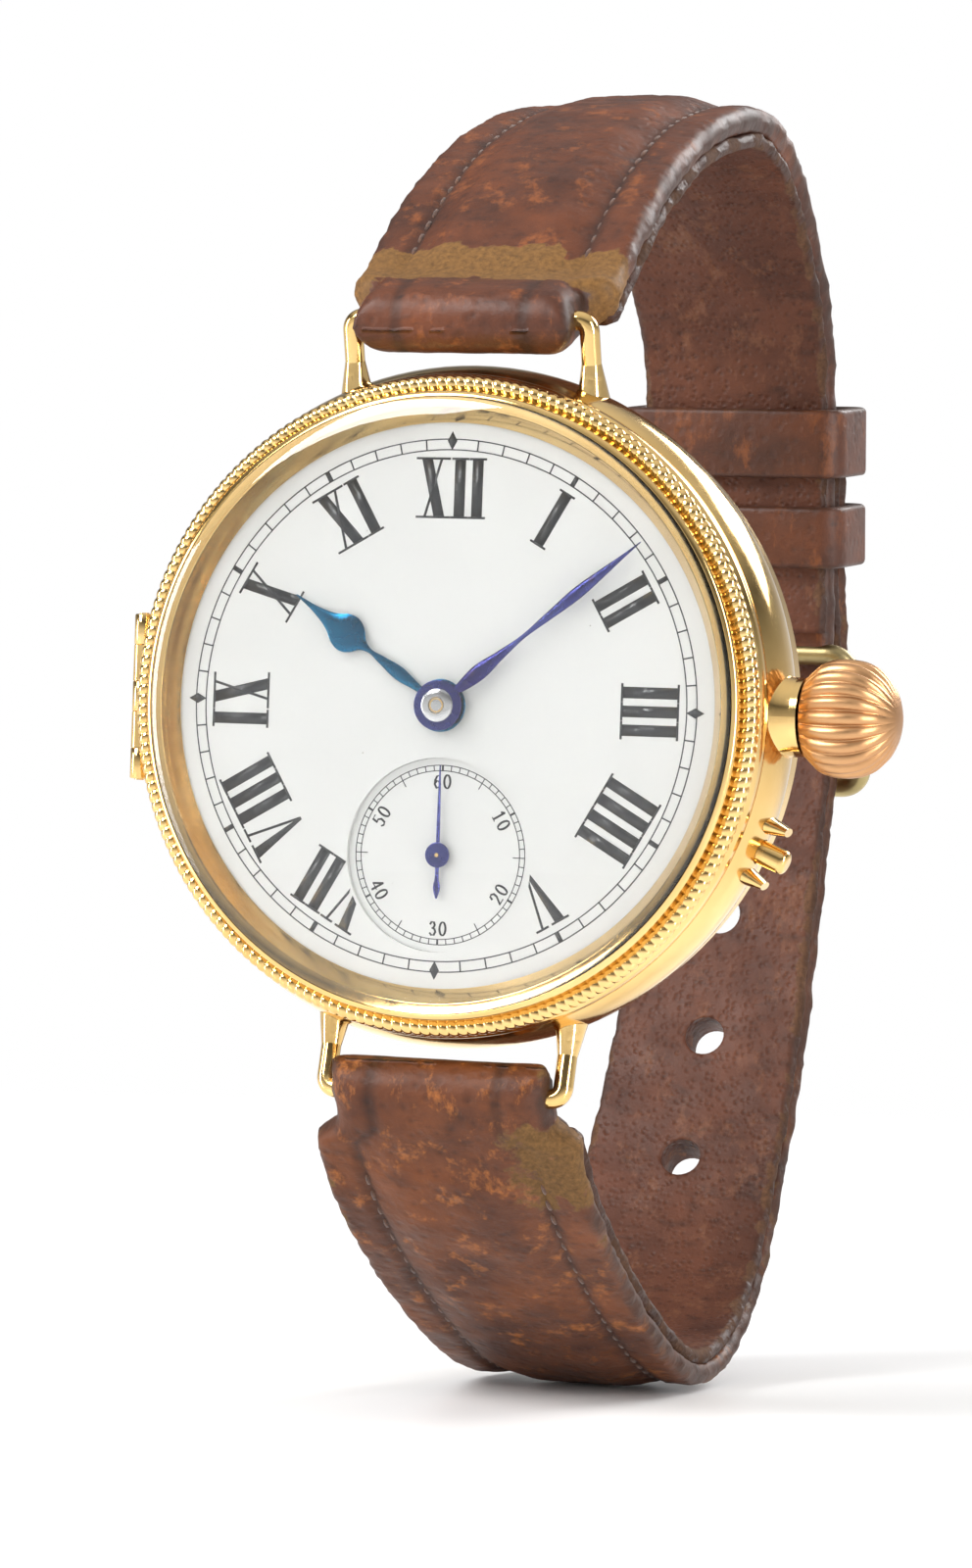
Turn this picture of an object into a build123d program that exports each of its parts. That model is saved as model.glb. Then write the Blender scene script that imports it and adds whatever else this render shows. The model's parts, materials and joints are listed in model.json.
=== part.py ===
"""A keyless wristwatch of about 1915, with its hinged gold case, movement and buckled leather strap.

The dial faces -Y, 12 o'clock is +Z and 3 o'clock is +X.  The origin lies on the dial's own axis, in the
middle of the opening that a wrist fills: half way from the case back to the strap behind the wrist.
Millimetres.  A "front" distance is measured from the dial's surface towards the eye, so it is negative
inside the case.  A "depth" is the same thing measured the other way, behind the dial.
"""

from build123d import *
import os
from math import atan2, copysign, cos, degrees, hypot, radians, sin, sqrt

os.makedirs("parts", exist_ok=True)

# ---------------------------------------------------------------------------------------- sizes
RUNNING_FIT = 0.04  # radial gap of anything that turns or slides
COVER_GAP = 0.05  # gap round a cover that snaps on

# case
CASE_RADIUS = 17.0  # widest radius of the band
BAND_FRONT, BAND_BACK = -0.9, -5.2
BAND_EDGE_STEP = 0.55  # how far the band's edges stand inside its widest line
RIM_WIDTH = 2.0  # from the widest line in to the bezel's and back's seats
LIP_WALL = 0.45
LIP_HEIGHT = 0.75
LEDGE_WIDTH = 0.7  # inner ledge that the movement rests on
LEDGE_FRONT, LEDGE_BACK = -1.9, -2.6

# bezel and crystal
BEZEL_TOP = 1.2  # front of the bezel's lip
REHAUT_WIDTH = 0.7  # sloping gold wall round the dial
REHAUT_FRONT = 1.0
ROPE_RADIUS = 0.42  # half-round moulding that carries the milled rope
CRYSTAL_SEAT = 0.75
CRYSTAL_BEVEL = 0.28
CRYSTAL_BEVEL_WIDTH = 0.55
CRYSTAL_DOME = 2.3
CRYSTAL_THICKNESS = 0.75

# back and dust cover
CUVETTE_THICKNESS = 0.3
BACK_THICKNESS = 0.35
BACK_BEVEL = 0.28
BACK_DOME = -7.6

# hinges at 9 o'clock
KNUCKLE_RADIUS = 0.48
HINGE_PIN_RADIUS = 0.24
HINGE_LENGTH = 8.4
KNUCKLE_GAP = 0.12
KNUCKLE_ROOM = 0.14
HINGE_INSET = 0.5  # hinge axis inside the widest line
BEZEL_HINGE_FRONT = -0.72
BACK_HINGE_FRONT = -5.38

# pendant, crown and setting pin
STEM_FRONT = -3.05
STEM_RADIUS = 0.45
STEM_END = 7.6
TUBE_RADIUS = 1.95
TUBE_BORE = 0.75
TUBE_REACH = 0.75  # how far the tube stands out of the band
CROWN_GAP = 0.08
CROWN_LENGTH = 4.7
CROWN_RADIUS = 2.95
SET_PIN_ANGLE = -23.0
SET_PIN_RADIUS = 0.62
SET_PIN_REACH = 1.5
GUARD_RADIUS = 0.75
GUARD_REACH = 0.95
GUARD_SPACING = 4.6  # degrees round the band from the pin to each guard

# wire lugs
LUG_WIRE_RADIUS = 0.5
LUG_INSIDE_WIDTH = 11.5
LUG_REACH = 2.2  # bar centre beyond the widest line
LUG_BAR_DEPTH = 1.7
LUG_BASE_DEPTH = 3.0
LUG_FOOT_RADIUS = 0.85
LUG_CORNER_RADIUS = 0.58

# dial and hands
DIAL_THICKNESS = 0.6
DIAL_RIM = 0.45  # how far the dial reaches under the bezel
DIAL_CENTRE_HOLE = 1.15
SECONDS_DIAL_RADIUS = 4.78
SECONDS_DIAL_SINK = 0.3
SECONDS_DIAL_THICKNESS = 0.42
SECONDS_DISTANCE = 7.35
DIAL_FOOT_RADIUS = 0.4
DIAL_FOOT_CIRCLE = 12.3
HAND_THICKNESS = 0.13
HOUR_HAND_FRONT = 0.3
MINUTE_HAND_FRONT = 0.68
SECONDS_HAND_FRONT = 0.04
HOUR_HAND_LENGTH = 9.4
MINUTE_HAND_LENGTH = 13.1
SECONDS_HAND_LENGTH = 4.4
SECONDS_TAIL = 2.15
HOUR_HAND_ANGLE = 146.0  # anticlockwise from 3 o'clock
MINUTE_HAND_ANGLE = 39.0
HAND_BOSS_RADIUS = 1.3

# movement levels, as front distances
PLATE_FRONT, PLATE_BACK = -1.4, -2.5
BRIDGE_FRONT, BRIDGE_BACK = -4.5, -5.3
WHEEL_THICKNESS = 0.18
PINION_LENGTH = 0.5
BARREL_FRONT, BARREL_BACK = -2.65, -3.95
FOURTH_LEVEL = -2.85
ESCAPE_LEVEL = -3.2
THIRD_LEVEL = -3.5
BALANCE_LEVEL = -3.9
CENTRE_LEVEL = -4.2
PALLET_COCK_FRONT = -3.4
PALLET_COCK_THICKNESS = 0.2
HOUR_WHEEL_LEVEL = -0.98
MINUTE_WHEEL_LEVEL = -1.24
WINDING_LEVEL = -5.0
BRIDGE_FLOOR = 0.22

# wheel train
BARREL_TEETH, CENTRE_PINION = 72, 9
CENTRE_TEETH, THIRD_PINION = 64, 8
THIRD_TEETH, FOURTH_PINION = 60, 8
FOURTH_TEETH, ESCAPE_PINION = 60, 6
CANNON_TEETH, MINUTE_WHEEL_TEETH = 12, 36
MINUTE_PINION, HOUR_WHEEL_TEETH = 10, 40
RATCHET_TEETH, CROWN_WHEEL_TEETH = 48, 28
BARREL_MODULE = 0.155
CENTRE_MODULE = 0.128
THIRD_MODULE = 0.115
FOURTH_MODULE = 0.10
MOTION_DISTANCE = 3.0
WINDING_MODULE = 0.2
BARREL_BEARING = 60.0
MOTION_BEARING = 45.0
ARBOR_RADIUS = 0.22
PIVOT_RADIUS = 0.1
JEWEL_RADIUS = 0.5
CENTRE_ARBOR_RADIUS = 0.35
CANNON_RADIUS = 0.82
HOUR_PIPE_WALL = 0.16

# escapement
ESCAPE_TEETH = 15
ESCAPE_RADIUS = 2.2
PALLET_DISTANCE = 2.54
LEVER_LENGTH = 3.3
BALANCE_RADIUS = 4.0
BALANCE_CENTRE = (-8.0, -3.4)
BALANCE_RIM = 0.55
BALANCE_SCREWS = 12
HAIRSPRING_RADIUS = 2.0
STAFF_RADIUS = 0.18

# keyless work
WINDING_PINION_RADIUS = 1.6
WINDING_PINION_LENGTH = 1.2
WINDING_PINION_BACK = 10.4  # distance of its inner face from the dial's axis
CLUTCH_RADIUS = 1.05
CLUTCH_LENGTH = 1.3
CLUTCH_GAP = 0.1
SCREW_SLOT = 0.14

# strap
STRAP_THICKNESS = 2.2
LINING_THICKNESS = 0.7
TAIL_THICKNESS = 1.8
STRAP_WIDTH = 14.0  # beside the lugs
STRAP_MIDDLE_WIDTH = 13.0
STRAP_BACK_WIDTH = 10.8
STRAP_WIDE_DEPTH = 26.0
STRAP_NARROW_BEFORE = 1.7  # the taper ends this far short of the run behind the wrist
STRAP_DEPTH = 47.7  # middle of the strap behind the wrist, below the dial's surface
WRAP_SIDE_GAP = 0.1  # each side, between the wrapped strap and a lug
WRAP_THICKNESS = 1.15
WRAP_SHOULDER = 1.45  # from the lug bar to where the strap widens
BACK_LEAN = 5.5  # lean of the straight run behind the wrist
HOLE_RADIUS = 1.1
HOLE_SPACING = 6.8
LOWER_HOLES = 4

# buckle and keepers
BUCKLE_RUN = 4.0  # buckle bar's height on the straight run
BUCKLE_HEIGHT = 7.6
BUCKLE_RISE = 2.75
BUCKLE_WIRE = 0.6
BUCKLE_INSIDE_WIDTH = 11.6
BUCKLE_FOLD_RADIUS = 1.6
TANG_WIDTH = 1.2
TANG_THICKNESS = 0.7
KEEPER_WALL = 0.9
KEEPER_GAP = 0.15
FIXED_KEEPER_RUN, FIXED_KEEPER_WIDTH = 10.6, 3.4
FREE_KEEPER_RUN, FREE_KEEPER_WIDTH = 15.8, 3.8

# --------------------------------------------------------------------------------- derived sizes
DIAL_Y = (BACK_DOME - (STRAP_DEPTH - STRAP_THICKNESS / 2)) / 2
SEAT_RADIUS = CASE_RADIUS - RIM_WIDTH  # inside of both lips
LIP_RADIUS = SEAT_RADIUS + LIP_WALL
COVER_BORE = LIP_RADIUS + COVER_GAP
EDGE_RADIUS = CASE_RADIUS - BAND_EDGE_STEP
BEZEL_OPENING = SEAT_RADIUS - 1.1
CRYSTAL_RADIUS = BEZEL_OPENING + REHAUT_WIDTH + 0.62
DIAL_RADIUS = BEZEL_OPENING + DIAL_RIM
PLATE_RADIUS = SEAT_RADIUS - LEDGE_WIDTH - 2 * RUNNING_FIT
FLANGE_RADIUS = SEAT_RADIUS - 2 * RUNNING_FIT
BRIDGE_RADIUS = PLATE_RADIUS - 0.1
HINGE_X = -(CASE_RADIUS - HINGE_INSET)
WRAP_WIDTH = LUG_INSIDE_WIDTH - 2 * WRAP_SIDE_GAP
STRAP_NARROW_DEPTH = STRAP_DEPTH - STRAP_NARROW_BEFORE
LUG_BAR_Z = CASE_RADIUS + LUG_REACH
LUG_LEG_X = LUG_INSIDE_WIDTH / 2 + LUG_WIRE_RADIUS
TUBE_END = CASE_RADIUS + TUBE_REACH
CROWN_START = TUBE_END + CROWN_GAP
CLUTCH_FRONT = WINDING_PINION_BACK - CLUTCH_GAP


def at(front):
    """The plane parallel to the dial, so far in front of its surface: X right, Y up, Z to the eye."""
    return Plane(origin=(0, DIAL_Y - front, 0), x_dir=(1, 0, 0), z_dir=(0, -1, 0))


def polar(radius, angle):
    return (radius * cos(radians(angle)), radius * sin(radians(angle)))


def bearing(start, end):
    return degrees(atan2(end[1] - start[1], end[0] - start[0]))


def beyond(start, distance, angle):
    """The point so far from start, at an angle anticlockwise from 3 o'clock."""
    step = polar(distance, angle)
    return (start[0] + step[0], start[1] + step[1])


def meeting_point(first, first_distance, second, second_distance, side):
    """The point at given distances from two others, left (1) or right (-1) of the line between them."""
    gap = hypot(second[0] - first[0], second[1] - first[1])
    along = (first_distance**2 - second_distance**2 + gap**2) / (2 * gap)
    across = sqrt(first_distance**2 - along**2)
    foot = beyond(first, along, bearing(first, second))
    return beyond(foot, side * across, bearing(first, second) + 90)


def centre_distance(module, wheel, pinion):
    return module * (wheel + pinion) / 2


CLICK_OFFSET = 1.0  # click's pivot beyond the ratchet's tips
CLICK_BEARING = 128
CLICK_STUD = 0.3

# arbor positions in the dial's plane
CENTRE = (0.0, 0.0)
FOURTH = (0.0, -SECONDS_DISTANCE)
THIRD = meeting_point(
    CENTRE,
    centre_distance(CENTRE_MODULE, CENTRE_TEETH, THIRD_PINION),
    FOURTH,
    centre_distance(THIRD_MODULE, THIRD_TEETH, FOURTH_PINION),
    1,
)
BARREL = polar(centre_distance(BARREL_MODULE, BARREL_TEETH, CENTRE_PINION), BARREL_BEARING)
MINUTE_WHEEL = polar(MOTION_DISTANCE, MOTION_BEARING)
BALANCE = BALANCE_CENTRE
ESCAPE = meeting_point(
    FOURTH,
    centre_distance(FOURTH_MODULE, FOURTH_TEETH, ESCAPE_PINION),
    BALANCE,
    PALLET_DISTANCE + LEVER_LENGTH,
    1,
)
LINE_OF_LEVER = bearing(ESCAPE, BALANCE)
PALLET = beyond(ESCAPE, PALLET_DISTANCE, LINE_OF_LEVER)
WINDING_DISTANCE = centre_distance(WINDING_MODULE, RATCHET_TEETH, CROWN_WHEEL_TEETH)
CROWN_WHEEL = (BARREL[0] + sqrt(WINDING_DISTANCE**2 - BARREL[1] ** 2), 0.0)


# ------------------------------------------------------------------------------------- shared shapes
def save(part, name):
    part.label = name
    export_step(part, f"parts/{name}.step")


def ring_profile(points):
    """Closed outline of (radius, front) corners in the half plane that turns about the dial's axis."""
    Polyline(*[(radius, DIAL_Y - front) for radius, front in points], close=True)


def disc(centre, radius, back, front, bore=0.0):
    """A flat disc or washer parallel to the dial."""
    with BuildPart() as piece:
        with BuildSketch(at(back)):
            with Locations(centre):
                Circle(radius)
                if bore:
                    Circle(bore, mode=Mode.SUBTRACT)
        extrude(amount=front - back)
    return piece.part


def meshing_phase(driver_phase, driver_teeth, teeth, line):
    """Angle of a wheel's first tooth, so that its gap meets a tooth of the wheel that drives it."""
    offset = (driver_phase - line) * driver_teeth / 360
    return line + 180 - (0.5 + offset) * 360 / teeth


def gear(centre, teeth, module, phase, back, front, bore=0.0):
    """A flat wheel or pinion with straight-sided teeth and a little backlash."""
    root, tip = module * (teeth / 2 - 0.62), module * (teeth / 2 + 0.5)
    corners = []
    for tooth in range(teeth):
        for share, radius in ((-0.27, root), (-0.12, tip), (0.12, tip), (0.27, root)):
            corners.append(beyond(centre, radius, phase + 360 * (tooth + share) / teeth))
    with BuildPart() as wheel:
        with BuildSketch(at(back)):
            with BuildLine():
                Polyline(*corners, close=True)
            make_face()
            if bore:
                with Locations(centre):
                    Circle(bore, mode=Mode.SUBTRACT)
        extrude(amount=front - back)
    return wheel.part


def spokes(centre, inner, outer, count, web, phase, back, front):
    """The openings between a wheel's arms, as cutters."""
    with BuildPart() as openings:
        with BuildSketch(at(back)):
            with Locations(centre):
                Circle(outer)
                Circle(inner, mode=Mode.SUBTRACT)
                with PolarLocations(0, count, start_angle=phase):
                    Rectangle(outer * 2, web, align=(Align.MIN, Align.CENTER), mode=Mode.SUBTRACT)
        extrude(amount=front - back)
    return openings.part


def arbor(centre, upper_end, lower_end):
    """An arbor between its jewels, with a thinner pivot at each end."""
    with BuildPart() as turned:
        for radius, back, front in (
            (ARBOR_RADIUS, BRIDGE_FRONT + 0.08, PLATE_BACK - 0.08),
            (PIVOT_RADIUS, lower_end, upper_end),
        ):
            with BuildSketch(at(back)):
                with Locations(centre):
                    Circle(radius)
            extrude(amount=front - back)
    return turned.part


def spiral_strip(centre, inner, outer, turns, thickness, back, front, start_angle=0.0):
    """A coiled flat spring as a closed strip."""
    steps_per_turn = 20
    count = int(turns * steps_per_turn)
    inside, outside = [], []
    for step in range(count + 1):
        angle = start_angle + 360 * step / steps_per_turn
        radius = inner + (outer - inner) * step / count
        inside.append(beyond(centre, radius, angle))
        outside.append(beyond(centre, radius + thickness, angle))
    with BuildPart() as spring:
        with BuildSketch(at(back)):
            with BuildLine():
                Polyline(*inside, *reversed(outside), close=True)
            make_face()
        extrude(amount=front - back)
    return spring.part


def slotted_screw(centre, head_radius, head_back, head_front, shank_radius, shank_front):
    """A cheese-head screw driven from the back."""
    with BuildPart() as screw:
        add(disc(centre, head_radius, head_back, head_front))
        add(disc(centre, shank_radius, head_front, shank_front))
        with BuildSketch(at(head_back)):
            with Locations(centre):
                Rectangle(head_radius * 2.2, SCREW_SLOT)
        extrude(amount=(head_front - head_back) / 2, mode=Mode.SUBTRACT)
    return screw.part


def hinge_spans(parts):
    """The stretches of a hinge, each one's lower and upper height, with a small gap between them."""
    step = HINGE_LENGTH / parts
    ends = [-HINGE_LENGTH / 2 + step * n for n in range(parts + 1)]
    return [(low + KNUCKLE_GAP / 2, high - KNUCKLE_GAP / 2) for low, high in zip(ends, ends[1:])]


def knuckles(front, spans, radius, bore=0.0):
    """Hinge barrels along Z at 9 o'clock over the given stretches."""
    with BuildPart() as barrels:
        for low, high in spans:
            with BuildSketch(Plane.XY.offset(low)):
                with Locations((HINGE_X, DIAL_Y - front)):
                    Circle(radius)
                    if bore:
                        Circle(bore, mode=Mode.SUBTRACT)
            extrude(amount=high - low)
    return barrels.part


HINGE_SPANS = hinge_spans(5)  # outer and middle barrels belong to the covers
PIN_BORE = HINGE_PIN_RADIUS + 0.02
ROOM_RADIUS = KNUCKLE_RADIUS + KNUCKLE_ROOM


def widened(spans):
    """The same stretches, longer by the gap at both ends, for cutting room round them."""
    return [(low - KNUCKLE_GAP, high + KNUCKLE_GAP) for low, high in spans]


# ----------------------------------------------------------------------------------------- the case
# Band: convex outside, a lip front and back for the snap-on covers, a ledge inside for the movement.
with BuildPart() as case_middle:
    with BuildSketch(Plane.XY):
        with BuildLine():
            inner = Polyline(
                (EDGE_RADIUS, DIAL_Y - BAND_FRONT),
                (LIP_RADIUS, DIAL_Y - BAND_FRONT),
                (LIP_RADIUS, DIAL_Y - BAND_FRONT - LIP_HEIGHT),
                (SEAT_RADIUS, DIAL_Y - BAND_FRONT - LIP_HEIGHT),
                (SEAT_RADIUS, DIAL_Y - LEDGE_FRONT),
                (SEAT_RADIUS - LEDGE_WIDTH, DIAL_Y - LEDGE_FRONT),
                (SEAT_RADIUS - LEDGE_WIDTH, DIAL_Y - LEDGE_BACK),
                (SEAT_RADIUS, DIAL_Y - LEDGE_BACK),
                (SEAT_RADIUS, DIAL_Y - BAND_BACK + LIP_HEIGHT),
                (LIP_RADIUS, DIAL_Y - BAND_BACK + LIP_HEIGHT),
                (LIP_RADIUS, DIAL_Y - BAND_BACK),
                (EDGE_RADIUS, DIAL_Y - BAND_BACK),
            )
            ThreePointArc(
                inner @ 1,
                (CASE_RADIUS, DIAL_Y - (BAND_FRONT + BAND_BACK) / 2),
                inner @ 0,
            )
        make_face()
    revolve(axis=Axis.Y)
    # stem and setting pin pass through the band
    with BuildSketch(Plane.YZ):
        with Locations((DIAL_Y - STEM_FRONT, 0)):
            Circle(TUBE_BORE)
    extrude(amount=CASE_RADIUS + 1, mode=Mode.SUBTRACT)
    pin_plane = Plane(
        origin=(0, DIAL_Y - STEM_FRONT, 0),
        x_dir=(0, 1, 0),
        z_dir=(cos(radians(SET_PIN_ANGLE)), 0, sin(radians(SET_PIN_ANGLE))),
    )
    with BuildSketch(pin_plane):
        Circle(SET_PIN_RADIUS + RUNNING_FIT)
    extrude(amount=CASE_RADIUS + 1, mode=Mode.SUBTRACT)
    # room for the hinge barrels of the covers, then the band's own barrels
    for hinge_front in (BEZEL_HINGE_FRONT, BACK_HINGE_FRONT):
        add(knuckles(hinge_front, widened(HINGE_SPANS[::2]), ROOM_RADIUS), mode=Mode.SUBTRACT)
        add(knuckles(hinge_front, widened(HINGE_SPANS[1::2]), KNUCKLE_RADIUS))
        add(knuckles(hinge_front, [(-HINGE_LENGTH, HINGE_LENGTH)], PIN_BORE), mode=Mode.SUBTRACT)

# Two small guards soldered each side of the setting pin.
with BuildPart() as pin_guards:
    for side in (1, -1):
        angle = SET_PIN_ANGLE + side * GUARD_SPACING
        guard_plane = Plane(
            origin=(0, DIAL_Y - STEM_FRONT, 0),
            x_dir=(0, 1, 0),
            z_dir=(cos(radians(angle)), 0, sin(radians(angle))),
        )
        with BuildSketch(guard_plane.offset(CASE_RADIUS - 0.6)):
            Ellipse(GUARD_RADIUS * 1.5, GUARD_RADIUS * 0.8)
        with BuildSketch(guard_plane.offset(CASE_RADIUS + GUARD_REACH)):
            Ellipse(GUARD_RADIUS * 0.8, GUARD_RADIUS * 0.3)
        loft()
    add(case_middle.part, mode=Mode.SUBTRACT)
    with BuildSketch(pin_plane):
        Circle(SET_PIN_RADIUS + RUNNING_FIT)
    extrude(amount=CASE_RADIUS + 3, mode=Mode.SUBTRACT)

# Bezel: sloping wall round the dial, crystal seat, lip, half-round moulding and a flat flange.
with BuildPart() as bezel:
    seat_floor = REHAUT_FRONT
    rope_centre = (EDGE_RADIUS - ROPE_RADIUS - 0.12, BAND_FRONT + 1.05)
    with BuildSketch(Plane.XY):
        with BuildLine():
            ring_profile(
                [
                    (BEZEL_OPENING, 0.06),
                    (BEZEL_OPENING + REHAUT_WIDTH, seat_floor),
                    (CRYSTAL_RADIUS, seat_floor),
                    (CRYSTAL_RADIUS, BEZEL_TOP),
                    (CRYSTAL_RADIUS + 0.3, BEZEL_TOP - 0.12),
                    (rope_centre[0] - 0.05, rope_centre[1] + 0.3),
                    (rope_centre[0], rope_centre[1] - 0.2),
                    (EDGE_RADIUS - 0.02, BAND_FRONT + 0.4),
                    (EDGE_RADIUS, BAND_FRONT + COVER_GAP),
                    (COVER_BORE, BAND_FRONT + COVER_GAP),
                    (COVER_BORE, 0.06),
                ]
            )
        make_face()
        with Locations((rope_centre[0], DIAL_Y - rope_centre[1])):
            Circle(ROPE_RADIUS)
    revolve(axis=Axis.Y)
    add(
        knuckles(BEZEL_HINGE_FRONT, widened(HINGE_SPANS[1::2]), ROOM_RADIUS),
        mode=Mode.SUBTRACT,
    )
    add(knuckles(BEZEL_HINGE_FRONT, HINGE_SPANS[::2], KNUCKLE_RADIUS))
    add(
        knuckles(BEZEL_HINGE_FRONT, [(-HINGE_LENGTH, HINGE_LENGTH)], PIN_BORE),
        mode=Mode.SUBTRACT,
    )

def dome_point(radius, rim_radius, rim_front, top_front):
    """A point of the sphere, centred on the axis, that joins a rim to its top."""
    sag = top_front - rim_front
    sphere = (rim_radius**2 + sag**2) / (2 * sag)
    drop = sphere - copysign(sqrt(sphere**2 - radius**2), sphere)
    return (radius, DIAL_Y - top_front + drop)


# Crystal: bevelled edge pressed into the bezel's seat, gently domed.
with BuildPart() as crystal:
    flat_radius = CRYSTAL_RADIUS - CRYSTAL_BEVEL_WIDTH
    bevel_top = BEZEL_TOP + CRYSTAL_BEVEL
    inner_radius = CRYSTAL_RADIUS - CRYSTAL_SEAT
    inner_top = CRYSTAL_DOME - CRYSTAL_THICKNESS
    with BuildSketch(Plane.XY):
        with BuildLine():
            edge = Polyline(
                (flat_radius, DIAL_Y - bevel_top),
                (CRYSTAL_RADIUS, DIAL_Y - BEZEL_TOP),
                (CRYSTAL_RADIUS, DIAL_Y - REHAUT_FRONT),
                (inner_radius, DIAL_Y - REHAUT_FRONT),
            )
            inside = ThreePointArc(
                edge @ 1,
                dome_point(inner_radius / 2, inner_radius, REHAUT_FRONT, inner_top),
                (0, DIAL_Y - inner_top),
            )
            axis_line = Line(inside @ 1, (0, DIAL_Y - CRYSTAL_DOME))
            ThreePointArc(
                axis_line @ 1,
                dome_point(flat_radius / 2, flat_radius, bevel_top, CRYSTAL_DOME),
                edge @ 0,
            )
        make_face()
    revolve(axis=Axis.Y)


LIP_BACK = BAND_BACK - LIP_HEIGHT
CUVETTE_FRONT = LIP_BACK - COVER_GAP
CUVETTE_BACK = CUVETTE_FRONT - CUVETTE_THICKNESS
CUVETTE_RADIUS = COVER_BORE - 2 * COVER_GAP
TONGUE_HEIGHT = HINGE_SPANS[2][1] - HINGE_SPANS[2][0]

# Back: a domed lid that snaps over the band's rear lip.
with BuildPart() as case_back:
    hollow_front = CUVETTE_BACK - COVER_GAP
    inner_top = BACK_DOME + BACK_THICKNESS
    bevel_front = hollow_front - BACK_BEVEL
    bevel_radius = EDGE_RADIUS - BACK_BEVEL
    with BuildSketch(Plane.XY):
        with BuildLine():
            crown_line = Line((0, DIAL_Y - BACK_DOME), (0, DIAL_Y - inner_top))
            hollow = ThreePointArc(
                crown_line @ 1,
                dome_point(COVER_BORE / 2, COVER_BORE, hollow_front, inner_top),
                (COVER_BORE, DIAL_Y - hollow_front),
            )
            rim = Polyline(
                hollow @ 1,
                (COVER_BORE, DIAL_Y - BAND_BACK + COVER_GAP),
                (EDGE_RADIUS, DIAL_Y - BAND_BACK + COVER_GAP),
                (EDGE_RADIUS, DIAL_Y - hollow_front),
                (bevel_radius, DIAL_Y - bevel_front),
            )
            ThreePointArc(
                rim @ 1,
                dome_point(bevel_radius / 2, bevel_radius, bevel_front, BACK_DOME),
                crown_line @ 0,
            )
        make_face()
    revolve(axis=Axis.Y)
    add(knuckles(BACK_HINGE_FRONT, widened(HINGE_SPANS[1:4]), ROOM_RADIUS), mode=Mode.SUBTRACT)
    with BuildSketch(at(BACK_DOME)):
        with Locations((HINGE_X - KNUCKLE_RADIUS, 0)):
            Rectangle(
                CASE_RADIUS - COVER_BORE + 0.6,
                TONGUE_HEIGHT + 2 * KNUCKLE_GAP,
                align=(Align.MIN, Align.CENTER),
            )
    extrude(amount=BAND_BACK - BACK_DOME, mode=Mode.SUBTRACT)
    add(knuckles(BACK_HINGE_FRONT, HINGE_SPANS[::4], KNUCKLE_RADIUS))
    add(knuckles(BACK_HINGE_FRONT, [(-HINGE_LENGTH, HINGE_LENGTH)], PIN_BORE), mode=Mode.SUBTRACT)

# Dust cover: a thin inner lid that lies on the rear lip and turns on the same pin as the back.
with BuildPart() as cuvette:
    add(disc(CENTRE, CUVETTE_RADIUS, CUVETTE_BACK, CUVETTE_FRONT))
    with BuildSketch(at(CUVETTE_BACK)):
        with Locations((HINGE_X, 0)):
            Rectangle(
                CASE_RADIUS - COVER_BORE + 1.0,
                TONGUE_HEIGHT,
                align=(Align.MIN, Align.CENTER),
            )
    extrude(amount=CUVETTE_THICKNESS)
    with BuildSketch(at(CUVETTE_BACK)):
        with Locations((HINGE_X, 0)):
            Rectangle(
                -COVER_BORE - HINGE_X,
                TONGUE_HEIGHT,
                align=(Align.MIN, Align.CENTER),
            )
    extrude(amount=BACK_HINGE_FRONT - CUVETTE_BACK)
    add(knuckles(BACK_HINGE_FRONT, [HINGE_SPANS[2]], KNUCKLE_RADIUS))
    add(knuckles(BACK_HINGE_FRONT, [(-HINGE_LENGTH, HINGE_LENGTH)], PIN_BORE), mode=Mode.SUBTRACT)


def hinge_pin(front):
    return knuckles(front, [(-HINGE_LENGTH / 2, HINGE_LENGTH / 2)], HINGE_PIN_RADIUS)


# Wire lugs: a wire bent round, soldered to the band on a swollen foot at each end.
def wire_lug(side):
    foot_z = side * sqrt(CASE_RADIUS**2 - LUG_LEG_X**2)
    foot_y, bar_y = DIAL_Y + LUG_BASE_DEPTH, DIAL_Y + LUG_BAR_DEPTH
    bar_z = side * LUG_BAR_Z
    inboard = side * 1.2
    with BuildPart() as lug:
        with BuildLine() as wire:
            FilletPolyline(
                (-LUG_LEG_X, foot_y, foot_z - inboard),
                (-LUG_LEG_X, bar_y, bar_z),
                (LUG_LEG_X, bar_y, bar_z),
                (LUG_LEG_X, foot_y, foot_z - inboard),
                radius=LUG_CORNER_RADIUS,
            )
        with BuildSketch(wire.line ^ 0):
            Circle(LUG_WIRE_RADIUS)
        sweep()
        for leg in (-1, 1):
            foot_plane = Plane(
                origin=(leg * LUG_LEG_X, foot_y, foot_z - inboard),
                x_dir=(1, 0, 0),
                z_dir=(0, bar_y - foot_y, bar_z - foot_z + inboard),
            )
            with BuildSketch(foot_plane):
                Ellipse(LUG_FOOT_RADIUS * 1.1, LUG_FOOT_RADIUS * 1.5)
            with BuildSketch(foot_plane.offset(2.6)):
                Circle(LUG_WIRE_RADIUS)
            loft()
        add(case_middle.part, mode=Mode.SUBTRACT)
        # nothing of the foot is left inside the band
        with BuildSketch(at(BAND_BACK - 1)):
            Circle(SEAT_RADIUS)
        extrude(amount=BAND_FRONT - BAND_BACK + 2, mode=Mode.SUBTRACT)
    return lug.part


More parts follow.
